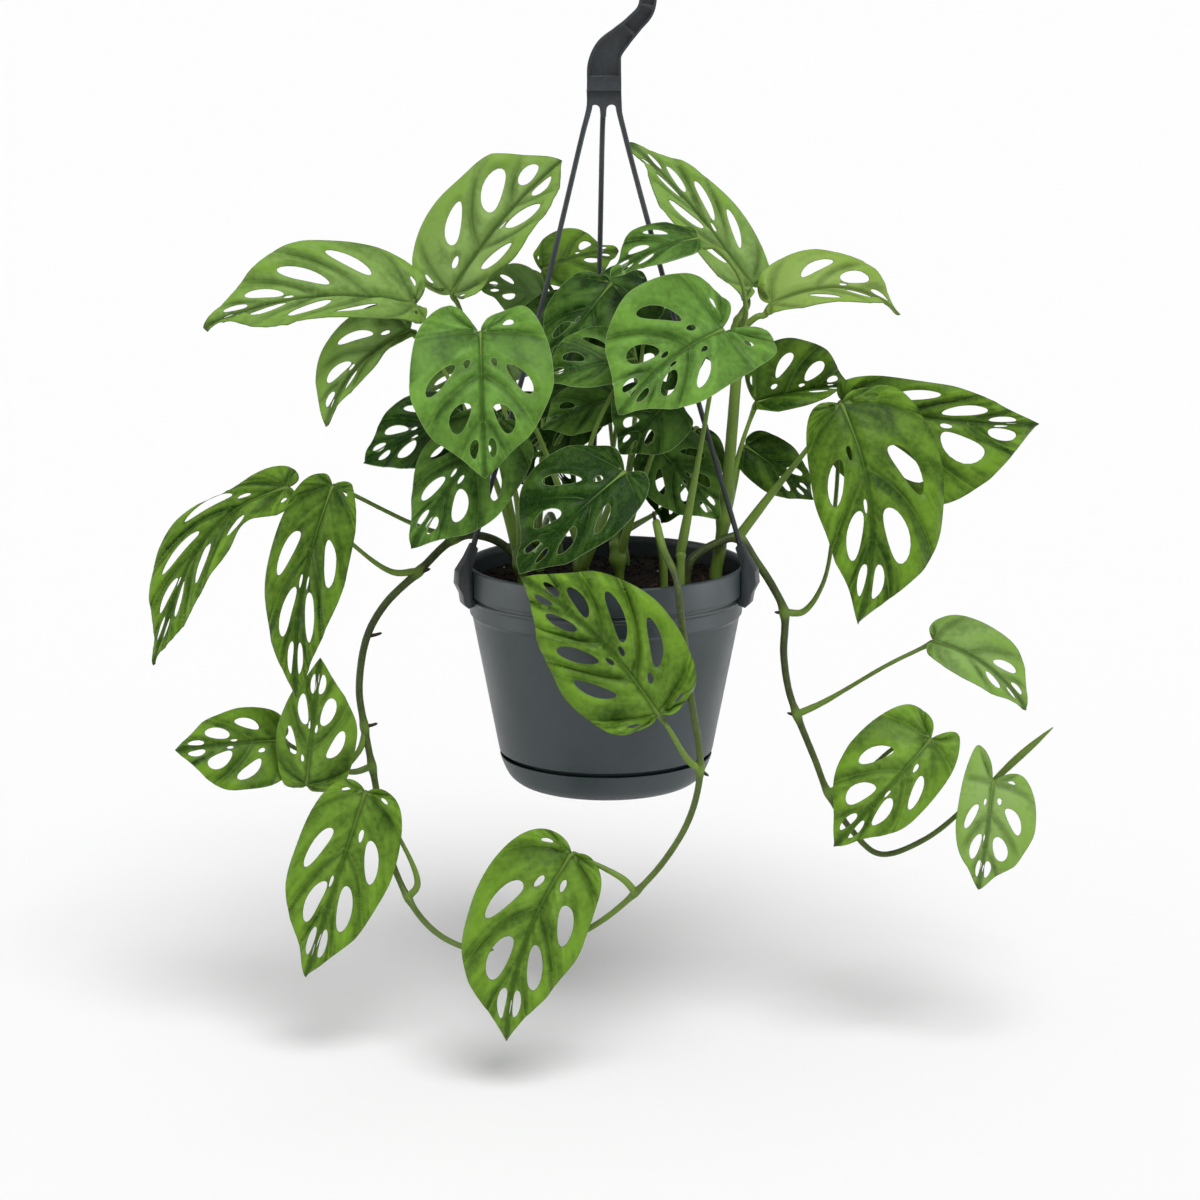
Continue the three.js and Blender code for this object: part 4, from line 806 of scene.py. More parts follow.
def bladePiece(leaf):
    points, known, links, outline, holes, segments, mains, place, length, dice = bladeSheet(leaf)
    flat = np.array(points)
    keep = np.ones(len(flat), bool)
    fixed = {i for link in links for i in link}
    for loop in holes:
        near = insideLoop(flat, loop) | (toSegments(flat, loop, np.roll(loop, -1, axis=0)) < edgeGap)
        keep &= ~near
    ring = np.array([points[i] for i in outline[0] + outline[1][::-1][1:-1]])
    keep &= insideLoop(flat, ring) & (toSegments(flat, ring, np.roll(ring, -1, axis=0)) > edgeGap)
    for i in fixed:
        keep[i] = True
    index = np.cumsum(keep) - 1
    flat = flat[keep]
    known = np.array(known)[keep]
    links = [(int(index[a]), int(index[b])) for a, b in links]
    corners, _, triangles, origins, _, _ = geometry.delaunay_2d_cdt(
        [Vector(p) for p in flat], links, [], 1, 1e-5)
    source = [origin[0] if origin else 0 for origin in origins]
    flat, known = np.array([tuple(c) for c in corners]), known[source]
    triangles = np.array(triangles)
    centres = flat[triangles].mean(1)
    solid = insideLoop(centres, ring)
    for loop in holes:
        solid &= ~insideLoop(centres, loop)
    triangles = triangles[solid]
    a, b, c = (flat[triangles[:, k]] for k in range(3))
    area = (b[:, 0] - a[:, 0]) * (c[:, 1] - a[:, 1]) - (b[:, 1] - a[:, 1]) * (c[:, 0] - a[:, 0])
    triangles[area < 0] = triangles[area < 0][:, ::-1]
    triangles = triangles[np.abs(area) > 1e-4]
    used, triangles = np.unique(triangles, return_inverse=True)
    triangles = triangles.reshape(-1, 3)
    flat, known = flat[used], known[used]
    # distances in mm to the midrib, to the nearest side vein and to the nearest edge
    sign, reach, v = known.T
    midrib = np.hypot(flat[:, 0], np.minimum(flat[:, 1], 0))
    side = np.where(flat[:, 0] < 0, toSegments(flat, *segments[0]), toSegments(flat, *segments[1]))
    edge = toSegments(flat, ring, np.roll(ring, -1, axis=0))
    for loop in holes:
        edge = np.minimum(edge, toSegments(flat, loop, np.roll(loop, -1, axis=0)))
    panel = np.zeros(len(flat))
    for start, end in zip(mains[:-1], mains[1:]):
        inside = (v >= start) & (v <= end)
        panel[inside] = (v[inside] - start) / (end - start)
    side = np.where((np.minimum(panel, 1 - panel) < 1e-6) & (sign != 0), 0, side)
    wide = np.where(flat[:, 0] < 0, *leaf["wide"])
    phase = np.where(flat[:, 0] < 0, dice.uniform(0, fullTurn), dice.uniform(0, fullTurn))
    wave = bladeSizes["wave"] * wide * reach ** bladeSizes["waveRise"]
    wave *= np.sin(bladeSizes["waveTurns"] * v + phase) - 0.5
    space = place(flat[:, 0], flat[:, 1] / length)
    made = newPiece(leaf["name"] + "_blade", toFrame(space), triangles)
    store(made, "veins", "FLOAT_VECTOR", np.stack([midrib, side, edge], 1))
    store(made, "spot", "FLOAT_VECTOR", np.stack([panel, reach, flat[:, 1] / length], 1))
    shift = dice.uniform(0, 500)
    store(made, "flat", "FLOAT_VECTOR", np.column_stack([flat + shift, np.zeros(len(flat))]))
    store(made, "flow", "FLOAT_VECTOR", np.column_stack([v * length * 0.9 + 60 * sign + shift,
                                                         reach * wide * 0.3, np.zeros(len(flat))]))
    store(made, "toneAndShade", "FLOAT", np.full(len(flat), leaf["toneAndShade"]))
    store(made, "inner", "FLOAT", np.full(len(flat), leaf["name"] in innerLeaves))
    store(made, "wave", "FLOAT", wave * 0.001)
    share = min(1.15, max(0.5, length / bladeSizes["usualLength"]))
    return grow(made, bladeBody, {"Thickness": bladeSizes["thickness"] * 0.001,
                                  "Quilt Height": bladeSizes["quilt"] * leaf["quilt"] * share * 0.001,
                                  "Groove Depth": bladeSizes["groove"] * 0.001,
                                  "Keel Height": bladeSizes["keel"] * share * 0.001,
                                  "Side Keel": bladeSizes["sideKeel"] * 0.001,
                                  "Pucker": bladeSizes["pucker"] * share * 0.001})


def readField(tree, name, kind="FLOAT"):
    return put(tree, "GeometryNodeInputNamedAttribute", {"Name": name}, data_type=kind).outputs["Attribute"]


def moved(tree, mesh, direction, height, where=None):
    offset = put(tree, "ShaderNodeVectorMath", {0: direction, "Scale": height}, operation="SCALE").outputs[0]
    inputs = {"Geometry": mesh, "Offset": offset}
    if where is not None:
        inputs["Selection"] = where
    return put(tree, "GeometryNodeSetPosition", inputs).outputs[0]


def stored(tree, mesh, name, value, kind="FLOAT"):
    inputs = {"Geometry": mesh, "Name": name, "Value": value}
    return put(tree, "GeometryNodeStoreNamedAttribute", inputs, data_type=kind, domain="POINT").outputs[0]


def dressed(tree, mesh, crease, material):
    # smooth but for edges that turn more than the crease angle, then realized and painted
    mesh = put(tree, "GeometryNodeSetShadeSmooth", {"Geometry": mesh, "Shade Smooth": True}).outputs[0]
    turn = put(tree, "GeometryNodeInputMeshEdgeAngle").outputs[0]
    sharp = put(tree, "FunctionNodeCompare", {0: turn, 1: crease}, data_type="FLOAT",
                operation="GREATER_THAN").outputs[0]
    inputs = {"Geometry": mesh, "Selection": sharp, "Shade Smooth": False}
    mesh = put(tree, "GeometryNodeSetShadeSmooth", inputs, domain="EDGE").outputs[0]
    mesh = put(tree, "GeometryNodeRealizeInstances", {"Geometry": mesh}).outputs[0]
    return put(tree, "GeometryNodeSetMaterial", {"Geometry": mesh, "Material": material}).outputs[0]


def bladeTree():
    # gives a bare sheet its quilting between the veins, its thickness, groove and keels
    tree, given, result = newTree("bladeBody", "GeometryNodeTree",
                                  [("Geometry", "Geometry", None), ("Thickness", "Float", 0.0005),
                                   ("Quilt Height", "Float", 0.001), ("Groove Depth", "Float", 0.0004),
                                   ("Keel Height", "Float", 0.0009), ("Side Keel", "Float", 0.0003),
                                   ("Pucker", "Float", 0.0005)],
                                  [("Geometry", "Geometry")])
    midrib, side, edge = put(tree, "ShaderNodeSeparateXYZ",
                             {0: readField(tree, "veins", "FLOAT_VECTOR")}).outputs
    panel, reach, along = put(tree, "ShaderNodeSeparateXYZ",
                              {0: readField(tree, "spot", "FLOAT_VECTOR")}).outputs
    normal = put(tree, "GeometryNodeInputNormal").outputs["Normal"]
    sheet = stored(tree, given[0], "lean", normal, "FLOAT_VECTOR")
    lean = readField(tree, "lean", "FLOAT_VECTOR")
    hump = calc(tree, "ABSOLUTE", calc(tree, "SINE", times(tree, panel, math.pi)))
    hump = calc(tree, "POWER", hump, 0.7)
    hump = times(tree, hump, ramp(tree, midrib, 0.5, 6.0), ramp(tree, edge, 0.0, 4.0, 0.35, 1.0))
    height = plus(tree, times(tree, hump, given["Quilt Height"]), readField(tree, "wave"))
    pucker = noise(tree, readField(tree, "flow", "FLOAT_VECTOR"), streakScale, Detail=2.0)
    pucker = times(tree, minus(tree, pucker, 0.5), ramp(tree, midrib, 0.5, 5.0))
    height = plus(tree, height, times(tree, pucker, given["Pucker"]))
    sheet = moved(tree, sheet, lean, height)
    half = times(tree, given["Thickness"], 0.5)
    groove = times(tree, ramp(tree, midrib, 0.0, 1.5, 1.0, 0.0), given["Groove Depth"])
    keel = times(tree, ramp(tree, midrib, 0.2, 1.9, 1.0, 0.0), given["Keel Height"],
                 ramp(tree, along, 0.0, 1.0, 1.0, 0.25))
    sideKeel = times(tree, ramp(tree, side, 0.0, 1.5, 1.0, 0.0), given["Side Keel"],
                     ramp(tree, reach, 0.3, 1.0, 1.0, 0.2))
    drop = times(tree, plus(tree, half, calc(tree, "MAXIMUM", keel, sideKeel)), -1.0)
    rise = minus(tree, half, groove)
    wall = put(tree, "GeometryNodeExtrudeMesh", {"Mesh": sheet, "Offset Scale": 0.0, "Individual": False},
               mode="FACES")
    top = wall.outputs["Top"]
    notTop = put(tree, "FunctionNodeBooleanMath", {0: top}, operation="NOT").outputs[0]
    upper = moved(tree, wall.outputs["Mesh"], lean, rise, top)
    upper = moved(tree, upper, lean, drop, notTop)
    upper = stored(tree, upper, "below", notTop)
    lower = moved(tree, put(tree, "GeometryNodeFlipFaces", {"Mesh": sheet}).outputs[0], lean, drop)
    lower = stored(tree, lower, "below", 1.0)
    both = put(tree, "GeometryNodeJoinGeometry")
    tree.links.new(upper, both.inputs[0])
    tree.links.new(lower, both.inputs[0])
    closed = put(tree, "GeometryNodeMergeByDistance",
                 {"Geometry": both.outputs[0], "Distance": 1e-6}).outputs[0]
    closed = put(tree, "GeometryNodeRemoveAttribute", {"Geometry": closed, "Name": "lean"}).outputs[0]
    tree.links.new(dressed(tree, closed, 0.9, leafBlade), result[0])
    return tree


bladeBody = bladeTree()
for leaf in leafRows:
    made = bladePiece(leaf)
    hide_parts(leaf["name"])
    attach(made, "root")
print("leaves grown:", len(leafRows))


# stems, with the stalks of their leaves
stemSizes = {
    "step": 2.0, "sides": 14, "bumps": 0.25, "nodeSwell": 0.42, "nodeReach": 4.2,
    "footHeights": (-34, -16, -7),  # how a stem starts in the soil
    "arrival": 4, "drop": 4.5,  # where a stalk comes in behind the blade's foot
    "stalk": 1.25, "collar": 0.35, "collarReach": 5, "sheath": 2.1875, "sheathReach": 22, "longSheath": 2.2,
    "keelShare": 0.16, "keelDepth": (0.95, 0.45), "rollLength": 62, "rollRadius": (0.25, 3.1),
}

stemRows = [
    dict(name="vine_left", radii=(2.6, 1.7), foot=(-52, 2),
         way=((-56, 4, 4), (-70, 7, 13), (-89, 9, 13), (-113, 0, -7), (-132, -4, -25), (-143, -8, -44),
         (-148, -12, -75), (-145, -15, -98), (-140, -18, -125), (-131, -25, -172), (-119, -35, -199),
         (-104, -55, -212), (-84, -78, -216), (-66, -90, -214)),
         nubs=((-113, 0, -7, 8, -2, 3), (-143, -8, -44, 9, 0, 2), (-145, -15, -98, 8, 0, 2))),
    dict(name="vine_front", radii=(2.4, 1.7), foot=(34, -44), young=120,
         way=((33, -48, 12), (29, -59, 35), (33, -75, 22), (40, -89, 8), (43, -98, -14), (48, -103, -55),
              (54, -104, -101), (48, -104, -130), (34, -104, -155), (17, -100, -176), (0, -94, -193),
              (-14, -92, -203)),
         nubs=((54, -104, -101, 5, 0, -4), (29, -59, 34, -2, -2, 8))),
    dict(name="vine_right", radii=(2.8, 1.3), foot=(48, -12),
         way=((51, -10, 3), (65, -2, 11), (79, 3, 14), (90, 7, -1), (100, 4, -16), (107, 0, -31),
         (107, 0, -57), (110, -2, -78), (115, -5, -93), (126, -9, -120), (134, -12, -140),
         (148, -15, -162), (165, -20, -176), (192, -20, -167), (222, -21, -141), (245, -23, -117),
         (267, -25, -96)),
         nubs=((107, 0, -31, -6, 0, 0), (115, -5, -93, -6, 0, 1))),
    dict(name="vine_back", radii=(2.4, 1.6), foot=(-28, 56),
         way=((-30, 62, 4), (-34, 76, 14), (-38, 90, 4), (-38, 97, -20), (-38, 100, -58), (-36, 100, -96))),
    dict(name="shoot_left", radii=(3, 2.4), foot=(-50, -16), way=((-51, -15, 4), (-53, -12, 14))),
    dict(name="shoot_left_back", radii=(3, 2.4), foot=(-40, 24), way=((-41, 20, 6), (-41, 16, 18))),
    dict(name="shoot_middle", radii=(3, 2.4), foot=(-14, -34), way=((-15, -35, 6), (-15, -35, 18))),
    dict(name="shoot_centre", radii=(3, 2.4), foot=(8, -12), way=((7, -12, 4), (6, -11, 18))),
    dict(name="shoot_right_front", radii=(3, 2.4), foot=(44, -34), way=((44, -32, 4), (44, -30, 14))),
    dict(name="shoot_right", radii=(4, 3), foot=(66, 6),
         way=((68, 6, 4), (72, 7, 40), (76, 9, 90), (80, 13, 148))),
    dict(name="shoot_back", radii=(3, 2.4), foot=(12, 40), way=((10, 42, 6), (9, 42, 22))),
]


def smoothPath(points, step):
    # an evenly spaced centripetal spline through the points
    p = np.array(points, float)
    p = np.vstack([2 * p[0] - p[1], p, 2 * p[-1] - p[-2]])
    fine = []
    for i in range(1, len(p) - 2):
        d0, d1, d2 = (max(1e-4, np.linalg.norm(p[i + k] - p[i + k - 1]) ** 0.5) for k in range(3))
        out = ((p[i] - p[i - 1]) / d0 - (p[i + 1] - p[i - 1]) / (d0 + d1) + (p[i + 1] - p[i]) / d1) * d1
        back = ((p[i + 1] - p[i]) / d1 - (p[i + 2] - p[i]) / (d1 + d2) + (p[i + 2] - p[i + 1]) / d2) * d1
        for t in np.linspace(0, 1, 24, endpoint=False):
            fine.append(p[i] + out * t + (3 * (p[i + 1] - p[i]) - 2 * out - back) * t ** 2
                        + (2 * (p[i] - p[i + 1]) + out + back) * t ** 3)
    fine = np.array(fine + [p[-2]])
    travel = np.concatenate([[0], np.cumsum(np.linalg.norm(np.diff(fine, axis=0), axis=1))])
    count = max(3, round(travel[-1] / step) + 1)
    where = np.linspace(0, travel[-1], count)
    return np.stack([np.interp(where, travel, fine[:, k]) for k in range(3)], 1), where


def tubeTree():
    # a tube round every chain of edges, as thick as its girth says, a little uneven
    tree, given, result = newTree("growTube", "GeometryNodeTree",
                                  [("Geometry", "Geometry", None), ("Sides", "Int", 14),
                                   ("Bump Height", "Float", 0.0003), ("Bump Size", "Float", 160.0),
                                   ("Material", "Material", None)],
                                  [("Geometry", "Geometry")])
    path = put(tree, "GeometryNodeMeshToCurve", {"Mesh": given[0]}).outputs[0]
    ring = put(tree, "GeometryNodeCurvePrimitiveCircle", {"Resolution": given["Sides"], "Radius": 1.0},
               mode="RADIUS").outputs[0]
    inputs = {"Curve": path, "Profile Curve": ring, "Scale": readField(tree, "girth"), "Fill Caps": True}
    tube = put(tree, "GeometryNodeCurveToMesh", inputs).outputs[0]
    bumps = put(tree, "ShaderNodeTexNoise", {"Scale": given["Bump Size"], "Detail": 2.0}).outputs[0]
    height = times(tree, minus(tree, bumps, 0.5), given["Bump Height"])
    tube = moved(tree, tube, put(tree, "GeometryNodeInputNormal").outputs["Normal"], height)
    tree.links.new(dressed(tree, tube, 1.0, given["Material"]), result[0])
    return tree


growTube = tubeTree()


def tubePiece(name, chains, sides, bumps, material):
    # chains: each a path in mm, its radii in mm and its skin as (freshness, bark)
    points, edges, girth, skin = [], [], [], []
    for path, radii, fresh, bark in chains:
        first = len(points)
        points.extend(toFrame(path))
        edges.extend((first + i, first + i + 1) for i in range(len(path) - 1))
        girth.extend(np.broadcast_to(radii, len(path)) * 0.001)
        skin.extend(zip(np.broadcast_to(fresh, len(path)), np.broadcast_to(bark, len(path)), [0] * len(path)))
    made = newPiece(name, points, edges=edges)
    store(made, "girth", "FLOAT", girth)
    store(made, "skin", "FLOAT_VECTOR", skin)
    return grow(made, growTube, {"Sides": sides, "Bump Height": bumps * 0.001, "Material": material})


def stalkChain(leaf):
    # from the stem to the blade, then along under its midrib until it sinks into it
    place, length, face = bladeSurface(leaf)
    foot = place(0, 0)[0]
    arrival = unit(np.array(leaf["stalk"][-1]) - foot) * stemSizes["arrival"]
    keelShare, (deep, shallow) = stemSizes["keelShare"], stemSizes["keelDepth"]
    under = [place(0, share)[0] - face * (deep - (deep - shallow) * share / keelShare)
             for share in (0.0, 0.05, keelShare)]
    way = [*leaf["stalk"], foot - face * stemSizes["drop"] + arrival, *under]
    path, travel = smoothPath(way, stemSizes["step"])
    left = travel[-1] - travel
    keelPart = keelShare * length
    base, reach = leaf.get("sheath", stemSizes["sheath"]), stemSizes["sheathReach"]
    reach *= stemSizes["longSheath"] if "sheath" in leaf else 1
    collar = (left - keelPart - stemSizes["collarReach"]) / stemSizes["collarReach"]
    radii = stemSizes["stalk"] + (base - stemSizes["stalk"]) * np.exp(-(travel / reach) ** 2)
    radii *= 1 + stemSizes["collar"] * np.exp(-collar ** 2)
    radii *= np.interp(left, [0, keelPart], [0.3, 1])
    onVine = leaf["stem"].startswith("vine")
    fresh = np.interp(travel, [0, 14, 45], [1.0, 0.95, 0.7] if onVine else [0.75, 0.85, 0.95])
    return path, radii, fresh, 0


def mainChain(stem, joints):
    x, y = stem["foot"]
    way = [(x, y, z) for z in stemSizes["footHeights"]] + [*stem["way"]]
    path, travel = smoothPath(way, stemSizes["step"])
    radii = np.interp(travel, [0, travel[-1]], stem["radii"])
    knee = np.zeros(len(path))
    for joint in joints:
        gap = np.linalg.norm(path - np.array(joint), axis=1) / stemSizes["nodeReach"]
        radii *= 1 + stemSizes["nodeSwell"] * np.exp(-gap ** 2)
        knee = np.maximum(knee, np.exp(-gap ** 2))
    left = travel[-1] - travel
    if stem["name"] == "vine_right":  # a rolled new leaf stands at its tip
        roll = np.clip(1 - left / stemSizes["rollLength"], 0, 1)
        thin, thick = stemSizes["rollRadius"]
        radii = radii * (1 - roll) + (thin + thick * np.sin(math.pi * roll ** 0.8)) * roll
    else:
        radii *= np.clip(left / 4, 0.05, 1) ** 0.5
    fresh = np.full(len(path), 0.8)
    if stem["name"].startswith("vine"):
        young = stem.get("young", 1)  # how far a vine stays green from its foot, in mm
        young = np.interp(travel, [0, 0.7 * young, young], [1, 0.9, 0])
        fresh = np.maximum(np.interp(left, [0, 60, 220], [0.9, 0.45, 0.12]), young)
        fresh = np.maximum(fresh, 0.85 * knee)
    return path, radii, fresh, 0


def nubChain(spot):
    # an aerial root's stub, from its place on the stem along its direction, sagging a little
    x, y, z, dx, dy, dz = spot
    path, travel = smoothPath([(x, y, z), (x + dx * 0.5, y + dy * 0.5, z + dz * 0.5 - 0.3),
                               (x + dx, y + dy, z + dz)], 0.7)
    left = travel[-1] - travel
    return path, np.clip(left / 1.2, 0.05, 1) ** 0.5 * np.interp(left, [0, travel[-1]], [0.75, 1.35]), 0, 1


for stem in stemRows:
    own = [leaf for leaf in leafRows if leaf["stem"] == stem["name"]]
    chains = [mainChain(stem, [leaf["stalk"][0] for leaf in own])]
    chains += [stalkChain(leaf) for leaf in own] + [nubChain(spot) for spot in stem.get("nubs", ())]
    vine = stem["name"].startswith("vine")
    made = tubePiece(stem["name"] + "_skin", chains, stemSizes["sides"], stemSizes["bumps"],
                     vineSkin if vine else stalkSkin)
    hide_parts(stem["name"])
    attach(made, "root")
print("stems grown:", len(stemRows))


# pot and saucer, turned from rounded profiles of (radius, z, rounding)
potShape = {
    "sides": 192, "roundSteps": 5,
    "profile": [
        (0, -128.6, 0), (46.5, -128.6, 0.5), (46.5, -132.2, 0.4), (49, -132.2, 0.9), (50.2, -128, 1.2),
        (60, -118, 1.2), (61, -114.4, 0.4), (64.4, -114.4, 0.8), (80.3, -31.2, 1.0), (81.7, -29.6, 0.5),
        (81.8, -21.2, 0.2), (82.5, -20.4, 0.5), (82.5, -19.2, 0.5), (81.9, -18.4, 0.2), (81.9, -16.5, 0.2),
        (84, -16.5, 0.9), (84, 0, 1.4), (81, 0, 0.9), (80, -3, 1.5), (79.8, -30, 1.5), (63, -111.5, 1.5),
        (58.3, -116.6, 1.5), (48.4, -126.8, 1.5), (0, -126.8, 0),
    ],
    "drainRing": 30, "drainRadius": 4, "drainSides": 32, "drains": 4, "drainHeights": (-131, -124),
}
saucerShape = {
    "sides": 192, "roundSteps": 5,
    "profile": [
        (0, -134.4, 0), (43, -134.4, 0.3), (44, -135, 0.3), (47, -135, 2), (53.5, -133.6, 5),
        (58.6, -129.6, 5), (61.6, -124, 5), (64.1, -117, 0.55), (62.7, -117, 0.55), (59.6, -124.4, 4),
        (53.8, -131.4, 4), (47, -133, 2), (0, -133, 0),
    ],
}
creaseAngle, softCrease = 35, 40  # degrees


def circle(radius, sides, z):
    turns = (2 * math.pi * i / sides for i in range(sides))
    return [(radius * math.cos(turn), radius * math.sin(turn), z) for turn in turns]


def roundedProfile(profile, steps):
    # each corner as a curve that starts its rounding size before the corner
    rounded = []
    for i, (radius, z, size) in enumerate(profile):
        here = np.array([radius, z], float)
        if size == 0 or i in (0, len(profile) - 1):
            rounded.append(here)
            continue
        back = np.array(profile[i - 1][:2], float) - here
        ahead = np.array(profile[i + 1][:2], float) - here
        reachBack, reachAhead = np.linalg.norm(back), np.linalg.norm(ahead)
        cut = min(size, 0.45 * reachBack, 0.45 * reachAhead)
        start, end = here + back / reachBack * cut, here + ahead / reachAhead * cut
        for k in range(steps + 1):
            t = k / steps
            rounded.append(start * (1 - t) ** 2 + here * 2 * t * (1 - t) + end * t ** 2)
    return rounded


def turnedPiece(name, profile, sides, material):
    # a closed profile turned about the pot's axis, with single points where it meets the axis
    points, rings = [], []
    for radius, z in profile:
        if radius < 1e-6:
            rings.append([len(points)])
            points.append((0, 0, z))
        else:
            rings.append(list(range(len(points), len(points) + sides)))
            points += circle(radius, sides, z)
    faces = []
    for low, high in zip(rings[:-1], rings[1:]):
        for i in range(sides):
            j = (i + 1) % sides
            if len(low) == 1:
                faces.append((low[0], high[j], high[i]))
            elif len(high) == 1:
                faces.append((low[i], low[j], high[0]))
            else:
                faces.append((low[i], low[j], high[j], high[i]))
    made = newPiece(name, toFrame(points), faces, material=material)
    made.data.shade_smooth()
    return made


def creased(piece, angle):
    piece.data.shade_smooth()
    piece.data.set_sharp_from_angle(angle=math.radians(angle))
    return piece


def drilled(piece, shape):
    radius, sides = shape["drainRadius"], shape["drainSides"]
    for x, y, _ in circle(shape["drainRing"], shape["drains"], 0):
        ends = [[(x + dx, y + dy, z) for dx, dy, z in circle(radius, sides, height)]
                for height in shape["drainHeights"]]
        cutOut(piece, prism("drain", *ends))
    return piece


def plasticShell(name, shape):
    profile = roundedProfile(shape["profile"], shape["roundSteps"])
    return turnedPiece(name, profile, shape["sides"], potPlastic)


pot = creased(drilled(plasticShell("pot_shell", potShape), potShape), creaseAngle)
saucer = creased(plasticShell("saucer_dish", saucerShape), creaseAngle)
for made, node in ((pot, "pot"), (saucer, "saucer")):
    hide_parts(node)
    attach(made, "root")
print("pot and saucer turned")


# potting soil
soilShape = {
    "profile": [(0, -126.4), (47, -126.4), (57, -116), (62, -111.5), (79, -30), (79.3, -14.5), (79.0, -12.6)],
    "rings": 44, "sides": 132, "crown": 2.0, "top": -12.0, "roughness": 1.5, "stretch": 2.4,
    "looseFrom": -13, "looseEdge": 0.5,
    "crumbs": 42000.0, "chips": 5200.0, "specks": 500.0,
}


def soilTree():
    # roughens the top of the soil and strews crumbs, chips and specks over it
    tree, given, result = newTree("looseSoil", "GeometryNodeTree",
                                  [("Geometry", "Geometry", None), ("Roughness", "Float", 0.0015),
                                   ("Crumbs", "Float", 1.0), ("Chips", "Float", 1.0),
                                   ("Specks", "Float", 1.0)],
                                  [("Geometry", "Geometry")])
    top = put(tree, "FunctionNodeCompare", {0: readField(tree, "crust"), 1: 0.5}, data_type="FLOAT",
              operation="GREATER_THAN").outputs[0]
    coarse = put(tree, "ShaderNodeTexNoise", {"Scale": 90.0, "Detail": 5.0, "Roughness": 0.7}).outputs[0]
    height = times(tree, minus(tree, coarse, 0.45), given["Roughness"], readField(tree, "crust"))
    vertical = put(tree, "ShaderNodeCombineXYZ", {0: 0.0, 1: 0.0, 2: soilShape["stretch"]}).outputs[0]
    body = moved(tree, given[0], vertical, height)
    body = put(tree, "GeometryNodeSetShadeSmooth", {"Geometry": body, "Shade Smooth": True}).outputs[0]
    body = put(tree, "GeometryNodeSetMaterial", {"Geometry": body, "Material": peat}).outputs[0]
    both = put(tree, "GeometryNodeJoinGeometry")
    tree.links.new(body, both.inputs[0])
    # how many, the seed, the radius, the least and the greatest stretch, and the material
    kinds = ((given["Crumbs"], 11, 0.0011, (0.5, 0.5, 0.35), (1.5, 1.3, 1.0), peat),
             (given["Chips"], 23, 0.0017, (0.6, 0.35, 0.12), (2.3, 1.0, 0.45), barkChip),
             (given["Specks"], 37, 0.0009, (0.6, 0.6, 0.5), (1.2, 1.2, 1.0), paleSpeck))
    for density, seed, size, low, high, material in kinds:
        spread = put(tree, "GeometryNodeDistributePointsOnFaces",
                     {"Mesh": body, "Selection": top, "Density": density, "Seed": seed})
        grain = put(tree, "GeometryNodeMeshIcoSphere", {"Radius": size, "Subdivisions": 1}).outputs[0]
        turn = put(tree, "FunctionNodeRandomValue", {1: (fullTurn,) * 3, "Seed": seed + 1},
                   data_type="FLOAT_VECTOR").outputs[0]
        scale = put(tree, "FunctionNodeRandomValue", {0: low, 1: high, "Seed": seed + 2},
                    data_type="FLOAT_VECTOR").outputs[0]
        bits = put(tree, "GeometryNodeInstanceOnPoints",
                   {"Points": spread.outputs["Points"], "Instance": grain, "Rotation": turn,
                    "Scale": scale}).outputs[0]
        bits = put(tree, "GeometryNodeRealizeInstances", {"Geometry": bits}).outputs[0]
        bits = put(tree, "GeometryNodeSetMaterial", {"Geometry": bits, "Material": material}).outputs[0]
        tree.links.new(bits, both.inputs[0])
    tree.links.new(both.outputs[0], result[0])
    return tree


def soilPiece():
    outer = soilShape["profile"]
    edgeRadius = outer[-1][0]
    crust = []
    for i in range(1, soilShape["rings"] + 1):
        share = 1 - i / soilShape["rings"]
        lift = soilShape["crown"] * (1 - share ** 2)
        crust.append((edgeRadius * share, soilShape["top"] + lift))
    made = turnedPiece("soil_fill", outer + crust, soilShape["sides"], peat)
    height = np.array([v.co.z for v in made.data.vertices]) * 1000 + hookToRim
    rim = np.array([math.hypot(v.co.x, v.co.y) for v in made.data.vertices]) * 1000
    loose = (height > soilShape["looseFrom"]) & (rim < edgeRadius - soilShape["looseEdge"])
    store(made, "crust", "FLOAT", loose * 1.0)
    return grow(made, soilTree(), {"Roughness": soilShape["roughness"] * 0.001, "Crumbs": soilShape["crumbs"],
                                   "Chips": soilShape["chips"], "Specks": soilShape["specks"]})


soil = soilPiece()
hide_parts("potting_soil")
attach(soil, "root")
print("soil filled")


# hanger: hook, ribbed arm, head, three strands and their clips
hangerShape = {
    "depth": 11, "wall": 1.5, "hookRadius": 22, "hookWidth": 10, "headWidth": 20, "headBottom": 272,
    "soften": 0.35, "fineness": 10,
    "pockets": ((1.3, 4.6), (4.6, 6.1), (6.1, 8.4), (8.4, 10.8), (10.8, 13.2), (13.2, 15.6)),
}
webShape = {
    "depth": 4.6, "bottom": 264, "archHeight": 268.3, "top": 281, "corners": (-11.1, 8.7), "soften": 0.5,
    "feet": ((9.4, 7.2), (-0.1, -3.35), (-9.45, -11.4)), "arches": ((3.1, 2.9), (-6.4, 2.75)),
    "archSteps": 12,
}
clipShape = {
    "angles": (-72, 74, 186), "width": 11, "narrowing": 0.66, "narrowFrom": 2, "narrowOver": 14,
    "soften": 0.45,
    "section": [  # radius and height over the rim, round the rim band and under its lip
        (81.4, 15), (84.2, 16.5), (87.9, 8), (92.7, 0), (93.4, -8), (90.4, -14), (89.4, -20),
        (86.9, -22.4), (82.7, -20.9), (82.3, -16.9), (84.4, -16.9), (84.4, 2), (80, 13),
    ],
}
